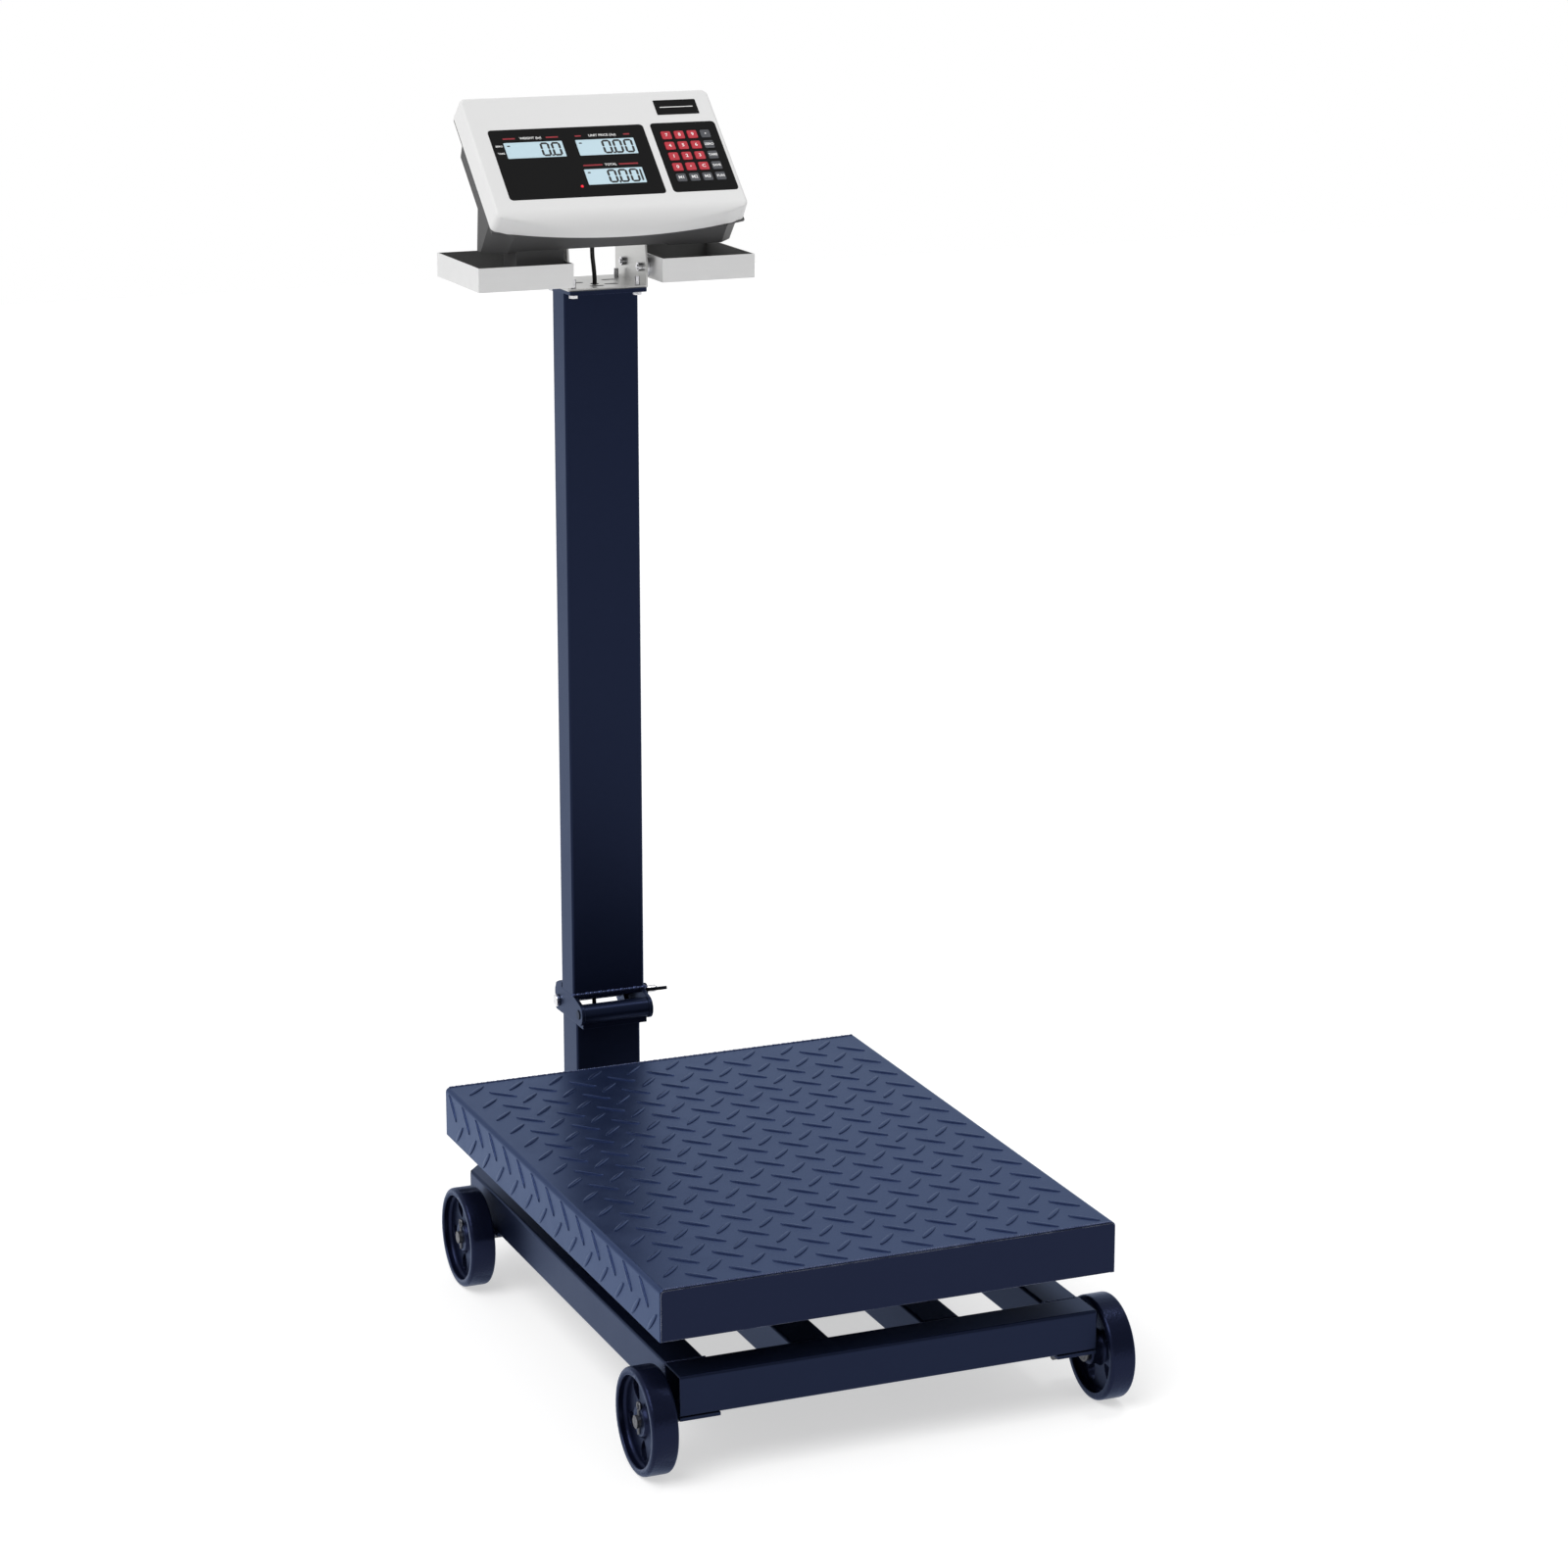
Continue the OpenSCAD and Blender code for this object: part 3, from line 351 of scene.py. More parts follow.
def named(name, *paints):
    piece = bpy.context.active_object
    piece.name = name
    piece.data.name = name
    piece.data.materials.clear()
    for paint in paints:
        piece.data.materials.append(paint)
    return piece


def settle(piece, place=None):
    """Puts the object's place into its mesh, and then carries the mesh by a matrix."""
    only(piece)
    bpy.ops.object.transform_apply(location=True, rotation=True, scale=True)
    if place is not None:
        piece.data.transform(place)
        piece.data.update()
    return piece


def block(name, low, high, *paints):
    """A box between two corners."""
    nothing_selected()
    low = Vector(low)
    high = Vector(high)
    bpy.ops.mesh.primitive_cube_add(size=1, location=(low + high) / 2)
    bpy.context.active_object.scale = high - low
    return settle(named(name, *paints))


def modified(piece, kind, **settings):
    """Adds a modifier, sets it and applies it."""
    only(piece)
    modifier = piece.modifiers.new(kind.title(), kind)
    for key, value in settings.items():
        setattr(modifier, key, value)
    bpy.ops.object.modifier_apply(modifier=modifier.name)
    return piece


def bevelled(piece, width, segments=2, angle=30):
    return modified(piece, "BEVEL", width=width, segments=segments, limit_method="ANGLE",
                    angle_limit=math.radians(angle), harden_normals=False)


def smoothed(piece, angle=40):
    """Smooth shading across soft edges, with the flats kept flat."""
    only(piece)
    bpy.ops.object.shade_smooth_by_angle(angle=math.radians(angle))
    return modified(piece, "WEIGHTED_NORMAL", mode="FACE_AREA", weight=80, keep_sharp=True)


def joined(name, pieces):
    nothing_selected()
    for piece in pieces:
        piece.select_set(True)
    bpy.context.view_layer.objects.active = pieces[0]
    if len(pieces) > 1:
        bpy.ops.object.join()
    pieces[0].name = name
    pieces[0].data.name = name
    return pieces[0]


def twin(piece, name, place):
    """A copy of a finished piece with its own mesh, carried by a matrix."""
    copy = piece.copy()
    copy.data = piece.data.copy()
    copy.name = name
    bpy.context.scene.collection.objects.link(copy)
    copy.data.transform(place)
    if place.determinant() < 0:
        copy.data.flip_normals()
    return copy


def stands_for(piece, node):
    """The piece rides where the node rides and is shown instead of it."""
    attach(piece, BODY_OF[node])
    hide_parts(node)
    return piece


def belongs(piece, body):
    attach(piece, body)
    return piece


def eased(node, width_mm, segments=2, paint=None, angle=30):
    """A CAD node's shape with its edges broken, as a real piece has them."""
    source = frame["nodes"][node]
    piece = source.copy()
    piece.data = source.data.copy()
    piece.parent = None
    for key in list(piece.keys()):
        del piece[key]
    bpy.context.scene.collection.objects.link(piece)
    only(piece)
    named(node + "_finished", paint or SLOT_PAINT[SLOT_OF[node]])
    edit(piece, "VERT")
    bpy.ops.mesh.select_all(action="SELECT")
    bpy.ops.mesh.remove_doubles(threshold=2e-6)
    bpy.ops.mesh.dissolve_limited(angle_limit=math.radians(0.5))
    done()
    if width_mm:
        modified(piece, "BEVEL", width=width_mm * MM, segments=segments, limit_method="ANGLE",
                 angle_limit=math.radians(angle), use_clamp_overlap=True)
    smoothed(piece, 40)
    return stands_for(piece, node)


# ---------------------------------------------------------------- camera and studio
def studio():
    """A pale floor, soft light from the left and above, and the camera."""
    azimuth = math.radians(-22.63)
    elevation = math.radians(14.68)
    back = Vector((math.sin(azimuth) * math.cos(elevation), -math.cos(azimuth) * math.cos(elevation),
                   math.sin(elevation)))
    right = Vector((math.cos(azimuth), math.sin(azimuth), 0))
    up = back.cross(right)
    camera = bpy.data.cameras.new("camera")
    camera.lens = 97.64
    camera.sensor_width = 36
    camera.clip_end = 50
    eye = bpy.data.objects.new("camera", camera)
    bpy.context.scene.collection.objects.link(eye)
    turn = Matrix((right, up, back)).transposed().to_4x4()
    spot = Vector((-1.4674, DECK_MID.y - 3.5661, 1.5572))
    eye.matrix_world = Matrix.Translation(spot) @ turn
    bpy.context.scene.camera = eye
    nothing_selected()
    bpy.ops.mesh.primitive_plane_add(size=14, location=(0, 0, 0))
    floor_paint = Paint("studio_floor")
    shade = floor_paint.noise(3, 2)
    floor = named("studio_floor", floor_paint.finish(
        {"Base Color": floor_paint.mixed(shade, rgb(196, 196, 196), rgb(193, 193, 193)),
         "Roughness": 0.85 + shade * 0.1},
        {"Specular IOR Level": 0.05, "Emission Color": (1, 1, 1, 1), "Emission Strength": 0.55}))
    sky()
    bpy.context.scene.view_settings.view_transform = "Standard"
    sun = bpy.data.lights.new("soft_key", "SUN")
    sun.energy = 1.6
    sun.angle = math.radians(40)
    key = bpy.data.objects.new("soft_key", sun)
    bpy.context.scene.collection.objects.link(key)
    towards = Vector((0.5, 0.3, -0.81))
    key.matrix_world = towards.to_track_quat("-Z", "Y").to_matrix().to_4x4()
    box = bpy.data.lights.new("left_softbox", "AREA")
    box.size = 1.6
    box.energy = 5
    side = bpy.data.objects.new("left_softbox", box)
    bpy.context.scene.collection.objects.link(side)
    lamp = bpy.data.lights.new("overhead_lamp", "AREA")
    lamp.size = 0.5
    lamp.energy = 9
    over = bpy.data.objects.new("overhead_lamp", lamp)
    bpy.context.scene.collection.objects.link(over)
    over.matrix_world = Matrix.Translation((1.1, -0.3, 3.0)) @ Matrix.Rotation(math.radians(20), 4, "Y")
    where = Vector((-2.6, -0.2, 1.7))
    side.matrix_world = (Matrix.Translation(where)
                         @ (Vector((0, 0, 0.4)) - where).to_track_quat("-Z", "Y").to_matrix().to_4x4())


def sky():
    """White surroundings; what lights and mirrors in the scale is bright behind and dimmer in front."""
    world = bpy.data.worlds.new("studio")
    world.use_nodes = True
    tree = world.node_tree
    tree.nodes.clear()
    place = tree.nodes.new("ShaderNodeTexCoord")
    slope = tree.nodes.new("ShaderNodeSeparateXYZ")
    tree.links.new(place.outputs["Generated"], slope.inputs[0])
    ramp = tree.nodes.new("ShaderNodeMapRange")
    for key, value in {"From Min": -0.7, "From Max": 0.6, "To Min": 0.3, "To Max": 0.84}.items():
        ramp.inputs[key].default_value = value
    tree.links.new(slope.outputs["Y"], ramp.inputs["Value"])
    lit = tree.nodes.new("ShaderNodeBackground")
    lit.inputs["Color"].default_value = (1, 1, 1, 1)
    tree.links.new(ramp.outputs["Result"], lit.inputs["Strength"])
    seen = tree.nodes.new("ShaderNodeBackground")
    seen.inputs["Color"].default_value = (1, 1, 1, 1)
    seen.inputs["Strength"].default_value = 1.0
    direct = tree.nodes.new("ShaderNodeLightPath")
    choice = tree.nodes.new("ShaderNodeMixShader")
    tree.links.new(direct.outputs["Is Camera Ray"], choice.inputs[0])
    tree.links.new(lit.outputs[0], choice.inputs[1])
    tree.links.new(seen.outputs[0], choice.inputs[2])
    out = tree.nodes.new("ShaderNodeOutputWorld")
    tree.links.new(choice.outputs[0], out.inputs["Surface"])
    bpy.context.scene.world = world


# ---------------------------------------------------------------- deck
LUG_PITCH_X = 42 * MM
LUG_PITCH_Y = 41.3 * MM
LUG_LENGTH = 32 * MM
LUG_WIDTH = 5.2 * MM
LUG_HEIGHT = 1.3 * MM


def lug():
    """One raised lens of tread plate, lying along Y, its foot just under the plate."""
    nothing_selected()
    bpy.ops.mesh.primitive_uv_sphere_add(segments=12, ring_count=8, radius=1, location=(0, 0, 0),
                                         rotation=(0, 0, 0))
    piece = settle(named("lug", DECK))
    edit(piece, "VERT")
    bpy.ops.mesh.select_all(action="SELECT")
    bpy.ops.mesh.bisect(plane_co=(0, 0, 0), plane_no=(0, 0, 1), clear_inner=True)
    done()
    # a flatter crown with the slope kept to the rim
    for vertex in piece.data.vertices:
        vertex.co.z = max(0.0, vertex.co.z) ** 0.5
    only(piece)
    bpy.ops.object.shade_smooth()
    piece.data.transform(Matrix.Diagonal((LUG_WIDTH / 2, LUG_LENGTH / 2, LUG_HEIGHT, 1)))
    return piece


def tread_lugs():
    """Lugs in two interleaved lattices, leaning either way, on the top and over both side bends."""
    seed = lug()
    half = (DECK_HIGH.x - DECK_LOW.x) / 2
    skirt = DECK_HIGH.z - DECK_LOW.z
    reach = half + skirt
    margin = 9 * MM
    pieces = []
    for lean, shift_x, shift_y in ((-45, -51.25 * MM, -115 * MM), (45, -30.25 * MM, -135.6 * MM)):
        for column in range(-8, 9):
            for row in range(-12, 13):
                across = shift_x + column * LUG_PITCH_X
                along = shift_y + row * LUG_PITCH_Y
                if abs(along) > 300 * MM - margin or abs(across) > reach - margin:
                    continue
                if half - margin < abs(across) < half + margin:
                    continue
                turn = Matrix.Rotation(math.radians(-lean), 4, "Z")
                if abs(across) < half:
                    place = Matrix.Translation((across, along + DECK_MID.y, DECK_HIGH.z)) @ turn
                else:
                    side = 1 if across > 0 else -1
                    down = DECK_HIGH.z - (abs(across) - half)
                    place = (Matrix.Translation((side * half, along + DECK_MID.y, down))
                             @ Matrix.Rotation(side * math.pi / 2, 4, "Y") @ turn)
                pieces.append(twin(seed, "lug_copy", place))
    bpy.data.objects.remove(seed)
    return pieces


def deck():
    """Tread plate folded down at both sides, plain skirts welded across the ends."""
    sheet = 4 * MM
    low = DECK_LOW.copy()
    high = DECK_HIGH.copy()
    proud = LUG_HEIGHT
    end = 3 * MM
    folded = block("deck_plate", (low.x + proud, low.y + end * 0.4, low.z),
                   (high.x - proud, high.y - end * 0.4, high.z - proud), DECK)
    pick(folded, "EDGE", lambda at, along: abs(along.y) > 0.9 and at.z > DECK_MID.z)
    bpy.ops.mesh.bevel(offset=4.5 * MM, segments=5)
    done()
    pick(folded, "FACE", lambda at, normal: normal.z < -0.9 or abs(normal.y) > 0.9)
    bpy.ops.mesh.delete(type="FACE")
    done()
    modified(folded, "SOLIDIFY", thickness=sheet, offset=-1)
    bevelled(folded, 0.4 * MM, 1, 60)
    lugs = tread_lugs()
    for piece in lugs:
        piece.data.transform(Matrix.Translation((0, 0, -proud)))
        mid_x = sum((v.co.x for v in piece.data.vertices)) / len(piece.data.vertices)
        if abs(mid_x) > high.x - 5 * MM:
            piece.data.transform(Matrix.Translation((-math.copysign(proud, mid_x), 0, 0)))
    whole = joined("tread_plate", [folded] + lugs)
    smoothed(whole, 35)
    stands_for(whole, "platform_cover")
    for name, front in (("front_skirt", True), ("rear_skirt", False)):
        y0 = low.y if front else high.y - end
        plate = block(name, (low.x + proud + 0.6 * MM, y0, low.z + 0.6 * MM),
                      (high.x - proud - 0.6 * MM, y0 + end, high.z - proud - 0.8 * MM), SKIRT_NAVY)
        pick(plate, "EDGE", lambda at, along: abs(along.y) > 0.9 and at.z > DECK_MID.z)
        bpy.ops.mesh.bevel(offset=4 * MM, segments=4)
        done()
        bevelled(plate, 0.9 * MM, 2, 50)
        smoothed(plate)
        belongs(plate, "cover")
        y_weld = low.y + 1.9 * MM if front else high.y - 1.9 * MM
        bead = weld_line(name + "_weld", Vector((low.x + 6 * MM, y_weld, high.z - proud + 0.1 * MM)),
                         Vector((high.x - 6 * MM, y_weld, high.z - proud + 0.1 * MM)), 1.3 * MM)
        belongs(bead, "cover")


def weld_line(name, start, end, radius, pitch=None):
    """A row of overlapping flat drops, as a weld leaves it."""
    pitch = pitch or radius * 1.6
    count = max(2, int((end - start).length / pitch))
    nothing_selected()
    bpy.ops.mesh.primitive_uv_sphere_add(segments=8, ring_count=4, radius=radius)
    # the drops take the lighter weld coat, a painted highlight
    drop = named("drop", HIGHLIT_WELD)
    only(drop)
    bpy.ops.object.shade_smooth()
    drops = []
    along = (end - start).normalized()
    turn = along.to_track_quat("X", "Z").to_matrix().to_4x4()
    for step in range(count + 1):
        wobble = 1 + 0.22 * math.sin(step * 2.4) + 0.1 * math.sin(step * 5.1)
        size = Matrix.Diagonal((1.25, 0.9 * wobble, 0.62 * wobble, 1))
        place = Matrix.Translation(start.lerp(end, step / count)) @ turn @ size
        drops.append(twin(drop, "drop_copy", place))
    bpy.data.objects.remove(drop)
    return joined(name, drops)


# ---------------------------------------------------------------- wheels
WHEEL_TREAD = 25 * MM
WHEEL_TURN = {"front_left": 0, "front_right": 20, "rear_left": 8, "rear_right": 50}


def spun(name, profile, steps, *paints):
    """A closed profile of (radius, place along X) points turned once about the X axis."""
    nothing_selected()
    bpy.ops.mesh.primitive_plane_add(size=1)
    piece = named(name, *paints)
    grid = edit(piece, "VERT")
    bmesh.ops.delete(grid, geom=grid.verts[:], context="VERTS")
    ring = [grid.verts.new((x, 0, radius)) for radius, x in profile]
    for first, second in zip(ring, ring[1:] + ring[:1]):
        grid.edges.new((first, second))
    bmesh.update_edit_mesh(piece.data)
    bpy.ops.mesh.select_all(action="SELECT")
    bpy.ops.mesh.spin(steps=steps, angle=2 * math.pi, center=(0, 0, 0), axis=(1, 0, 0))
    bpy.ops.mesh.select_all(action="SELECT")
    bpy.ops.mesh.remove_doubles(threshold=1e-6)
    bpy.ops.mesh.normals_make_consistent(inside=False)
    done()
    return piece


def arc(centre_r, centre_x, radius, start, stop, steps):
    """Points of a round corner in a turned profile, angles in degrees from the outward radius."""
    return [(centre_r + radius * math.cos(math.radians(start + (stop - start) * i / steps)),
             centre_x + radius * math.sin(math.radians(start + (stop - start) * i / steps)))
            for i in range(steps + 1)]


def wheel():
    """Cast wheel about the X axis, middle of its tread at the origin, outer face towards +X."""
    low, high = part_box("wheel_front_right")
    radius = (high.z - low.z) / 2
    half = WHEEL_TREAD / 2
    rim = 5.5 * MM
    corner = 3.4 * MM
    web = 3.2 * MM
    fillet = 4 * MM
    lip = 1 * MM
    hub = 15 * MM
    hub_face = 7.6 * MM
    hub_back = -half - 3 * MM
    bore = 6.2 * MM
    chamfer = 1.4 * MM
    foot = 3 * MM
    tread = (arc(radius - corner, -half + corner, corner, -90, 0, 4)
             + arc(radius - corner, half - corner, corner, 0, 90, 4))
    outer_side = (arc(radius - rim - lip, half - lip, lip, 90, 180, 2)
                  + arc(radius - rim - fillet, web + fillet, fillet, 0, -90, 4)
                  + [(23 * MM, web)]
                  + arc(hub + foot, web + foot, foot, -90, -180, 3)
                  + [(hub, hub_face - chamfer), (hub - chamfer, hub_face), (bore, hub_face)])
    inner_side = ([(bore, hub_back), (hub - chamfer, hub_back), (hub, hub_back + chamfer)]
                  + [(hub + 0.4 * MM, -web - foot), (hub + foot, -web), (23 * MM, -web)]
                  + arc(radius - rim - fillet, -web - fillet, fillet, 90, 0, 4)
                  + arc(radius - rim - lip, -half + lip, lip, 180, 270, 2))
    profile = tread + outer_side + inner_side
    body = spun("wheel", profile, 72, CAST_NAVY)
    cutters = []
    for i in range(5):
        window = teardrop(19 * MM, 38.5 * MM, 7.2 * MM, 2.6 * MM, 30 * MM)
        window.data.transform(Matrix.Rotation(math.radians(36 + 72 * i), 4, "X"))
        cutters.append(window)
    cutter = joined("wheel_windows", cutters)
    body = modified(body, "BOOLEAN", operation="DIFFERENCE", object=cutter, solver="EXACT")
    bpy.data.objects.remove(cutter)
    edit(body, "VERT")
    bpy.ops.mesh.select_all(action="SELECT")
    bpy.ops.mesh.remove_doubles(threshold=5e-6)
    done()
    modified(body, "BEVEL", width=0.9 * MM, segments=2, limit_method="ANGLE", angle_limit=math.radians(55))
    smoothed(body, 42)
    return body


def teardrop(inner, outer, big, small, depth):
    """A window cutter through a wheel: a fat round end near the rim that narrows towards the hub."""
    nothing_selected()
    bpy.ops.mesh.primitive_cylinder_add(vertices=20, radius=big, depth=depth, rotation=(0, math.pi / 2, 0))
    piece = settle(named("window", CAST_NAVY))
    middle = outer - big
    slim = inner + small
    for vertex in piece.data.vertices:
        if vertex.co.z < 0:
            share = -vertex.co.z / big
            vertex.co.y *= 1 - share * 0.35
            vertex.co.z = -share * (middle - slim + small)
        vertex.co.z += middle
    return piece


def wheels():
    seed = wheel()
    for corner in WHEEL_TURN:
        axle = Vector(JOINT[corner + "_wheel_spin"]["pos_m"])
        side = 1 if axle.x > 0 else -1
        low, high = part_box("wheel_" + corner)
        outer = high.x if side > 0 else low.x
        turn = Matrix.Rotation(math.radians(WHEEL_TURN[corner]), 4, "X")
        middle = Vector((outer - side * WHEEL_TREAD / 2, axle.y, axle.z))
        place = Matrix.Translation(middle) @ Matrix.Diagonal((side, 1, 1, 1))
        piece = twin(seed, "wheel_" + corner + "_cast", place @ turn)
        stands_for(piece, "wheel_" + corner)
    bpy.data.objects.remove(seed)


# ---------------------------------------------------------------- welds on the frame and the column
def welds():
    """Beads along the column's foot, the barrel and the front beam's ends."""
    front = POST_LOW.y
    foot = POST_LOW.z
    bead = weld_line("column_foot_weld", Vector((POST_LOW.x + 1 * MM, front + 0.4 * MM, foot + 1.5 * MM)),
                     Vector((POST_HIGH.x - 1 * MM, front + 0.4 * MM, foot + 1.5 * MM)), 3.0 * MM)
    belongs(bead, "mast")
    beam_low, beam_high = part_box("cross_beams")
    rail_low, rail_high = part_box("long_rails")
    tube = rail_high.z - rail_low.z
    for side in (-1, 1):
        x = side * (beam_high.x - 38 * MM)
        start = Vector((x, beam_low.y + 38 * MM, beam_high.z - 0.6 * MM))
        end = Vector((side * (beam_high.x - 2 * MM), beam_low.y + 38 * MM, beam_high.z - 0.6 * MM))
        belongs(weld_line("corner_weld", start, end, 1.3 * MM), "base")
        x = side * (beam_high.x - 0.2 * MM)
        start = Vector((x, beam_low.y + 38 * MM, beam_high.z - tube + 2 * MM))
        end = Vector((x, beam_low.y + 38 * MM, beam_high.z - 2 * MM))
        belongs(weld_line("corner_weld", start, end, 1.2 * MM), "base")
    hinge = Vector(JOINT["column_fold"]["pos_m"])
    start = Vector((POST_LOW.x + 6 * MM, hinge.y + 3 * MM, hinge.z - 10.5 * MM))
    end = Vector((POST_HIGH.x - 6 * MM, hinge.y + 3 * MM, hinge.z - 10.5 * MM))
    belongs(weld_line("barrel_weld", start, end, 2.0 * MM), "base")


# ---------------------------------------------------------------- head
LIP = 22 * MM
BOW = 14 * MM
EDGE = 3 * MM
SHELL_CORNER = 7 * MM
SHELL_STEPS = (0, 0.12, 0.4, 0.85, 1.5, 2.2, 3, 4.2, 5.8, 7.8, 10, 12.5, 15.5, 19, 22, 23)


def shell_ring(low, high, depth, back):
    """The front shell's outline at one depth behind its face, anticlockwise from the lower right.

    low and high are the lowest and highest corners of the outline seen square on."""
    inset = 0.0
    if depth < EDGE:
        inset = EDGE - math.sqrt(EDGE ** 2 - (EDGE - depth) ** 2)
    rolled = low.y + LIP - math.sqrt(max(0.0, LIP ** 2 - max(0.0, LIP - depth) ** 2))
    middle = (low.x + high.x) / 2
    half = (high.x - low.x) / 2
    draft = 1.6 * MM * (1 - depth / back)
    across = half - draft - inset
    radius = SHELL_CORNER - inset * 0.8
    top = high.y - inset
    bend = (BOW ** 2 + half ** 2) / (2 * BOW)

    def lower_edge(x):
        return low.y + bend - math.sqrt(bend ** 2 - (x - middle) ** 2) + inset

    corner_low = lower_edge(middle + across) + radius
    corner_high = top - radius
    side_span = corner_high - corner_low
    right = middle + across - radius
    left = middle - across + radius

    def corner(x, y, start):
        turns = [math.radians(start + 90 * i / 8) for i in range(9)]
        return [(x + radius * math.cos(a), y + radius * math.sin(a)) for a in turns]

    points = corner(right, corner_low, 270)
    points += [(middle + across, corner_low + side_span * i / 8) for i in range(1, 8)]
    points += corner(right, corner_high, 0)
    points += [(middle + (across - radius) * (1 - i / 6), top) for i in range(1, 12)]
    points += corner(left, corner_high, 90)
    points += [(middle - across, corner_high - side_span * i / 8) for i in range(1, 8)]
    points += corner(left, corner_low, 180)
    along_bottom = [middle - (across - radius) * (1 - i / 16) for i in range(1, 32)]
    points += [(x, lower_edge(x)) for x in along_bottom]
    return [Vector((x, max(y, rolled), -depth)) for x, y in points]


def front_shell():
    """Upper shell: flat face, crisp sides and a fat round lower lip that bows down in the middle."""
    low, high = shell_reach()
    rings = [shell_ring(low, high, depth * MM, SHELL_STEPS[-1] * MM) for depth in SHELL_STEPS]
    count = len(rings[0])
    nothing_selected()
    bpy.ops.mesh.primitive_plane_add(size=1)
    piece = named("front_shell_moulding", LIGHT_SHELL)
    grid = edit(piece, "VERT")
    bmesh.ops.delete(grid, geom=grid.verts[:], context="VERTS")
    previous = [grid.verts.new(p) for p in rings[0]]
    grid.faces.new(previous)
    for ring in rings[1:]:
        current = [grid.verts.new(p) for p in ring]
        for i in range(count):
            j = (i + 1) % count
            grid.faces.new((previous[j], previous[i], current[i], current[j]))
        previous = current
    bmesh.update_edit_mesh(piece.data)
    bpy.ops.mesh.select_all(action="SELECT")
    bpy.ops.mesh.remove_doubles(threshold=2e-5)
    bpy.ops.mesh.dissolve_degenerate(threshold=1e-5)
    bpy.ops.mesh.select_all(action="SELECT")
    bpy.ops.mesh.normals_make_consistent(inside=False)
    done()
    if max(piece.data.polygons, key=lambda p: p.area).normal.z < 0:
        piece.data.flip_normals()
    modified(piece, "SOLIDIFY", thickness=2.5 * MM, offset=-1)
    recess = 1.2 * MM
    through = 10 * MM
    cuts = [panel_cutter(PANELS["display"], 0.25 * MM, recess, 4 * MM),
            panel_cutter(PANELS["keypad"], 0.25 * MM, recess, 4 * MM),
            panel_cutter(PANELS["key_window"], 0, through, 2 * MM)]
    for key in ("lcd_weight", "lcd_price", "lcd_total"):
        cuts.append(panel_cutter(PANELS[key], 0.2 * MM, through, 1 * MM))
    for cutter in cuts:
        modified(piece, "BOOLEAN", operation="DIFFERENCE", object=cutter, solver="EXACT")
        bpy.data.objects.remove(cutter)
    smoothed(piece, 40)
    piece.data.transform(ON_FACE)
    return stands_for(piece, "front_shell")


def shell_reach():
    """Lowest and highest corners of the front shell in the face's own frame."""
    to_face = ON_FACE.inverted()
    spots = [to_face @ v.co for v in frame["nodes"]["front_shell"].data.vertices]
    low = Vector((min(p.x for p in spots), min(p.y for p in spots)))
    high = Vector((max(p.x for p in spots), max(p.y for p in spots)))
    return low, high


# places on the face as left, bottom, right and top, in millimetres
PANELS = {"display": (-109, -56, 55, 35.5), "keypad": (63, -55.5, 132.5, 36),
          "key_window": (68, -45.5, 126.6, 27.5),
          "lcd_weight": (-97, -2.5, -35, 19), "lcd_price": (-21.5, -2.5, 41, 19),
          "lcd_total": (-23, -41, 39, -20), "plate": (75, 47, 120.5, 66.5)}


def panel_cutter(place, grow, depth, radius):
    """A round-cornered block standing through the face."""
    u0, v0, u1, v1 = (c * MM for c in place)
    piece = block("cutter", (u0 - grow, v0 - grow, -depth), (u1 + grow, v1 + grow, 4 * MM), LIGHT_SHELL)
    pick(piece, "EDGE", lambda at, along: abs(along.z) > 0.9)
    bpy.ops.mesh.bevel(offset=radius, segments=5)
    done()
    return piece


def face_tile(name, place, low, high, radius, edge, *paints):
    """A thin round-cornered tile on the face, its edges broken, in the face's frame."""
    u0, v0, u1, v1 = (c * MM for c in place)
    piece = block(name, (u0, v0, low * MM), (u1, v1, high * MM), *paints)
    pick(piece, "EDGE", lambda at, along: abs(along.z) > 0.9)
    bpy.ops.mesh.bevel(offset=radius * MM, segments=4)
    done()
    pick(piece, "EDGE", lambda at, along: abs(along.z) < 0.1 and at.z > (low + high) / 2 * MM)
    bpy.ops.mesh.bevel(offset=edge * MM, segments=2)
    done()
    smoothed(piece)
    return piece


def lettering(name, words, u, v, size, height, paint, bold=0.0):
    """Raised print centred on a place of the face, as a mesh in the face's frame."""
    nothing_selected()
    bpy.ops.object.text_add(location=(0, 0, 0))
    label = bpy.context.active_object
    label.data.body = words
    label.data.size = size * MM
    label.data.align_x = "CENTER"
    label.data.align_y = "CENTER"
    label.data.extrude = 0.04 * MM
    label.data.offset = bold * MM
    label.data.resolution_u = 3
    only(label)
    bpy.ops.object.convert(target="MESH")
    piece = named(name, paint)
    settle(piece)
    piece.data.transform(Matrix.Translation((u * MM, v * MM, height * MM)))
    return piece


def segment(u0, v0, u1, v1, width, height):
    """One bar of a display digit, pointed at both ends."""
    half = width / 2
    upright = abs(v1 - v0) > abs(u1 - u0)
    low = (u0 - (half if upright else 0), v0 - (0 if upright else half), height)
    high = (u1 + (half if upright else 0), v1 + (0 if upright else half), height + 0.06)
    piece = block("bar", [c * MM for c in low], [c * MM for c in high], INK_BLACK)
    pick(piece, "EDGE", lambda at, along: abs(along.z) > 0.9)
    bpy.ops.mesh.bevel(offset=half * 0.86 * MM, segments=1)
    done()
    return piece


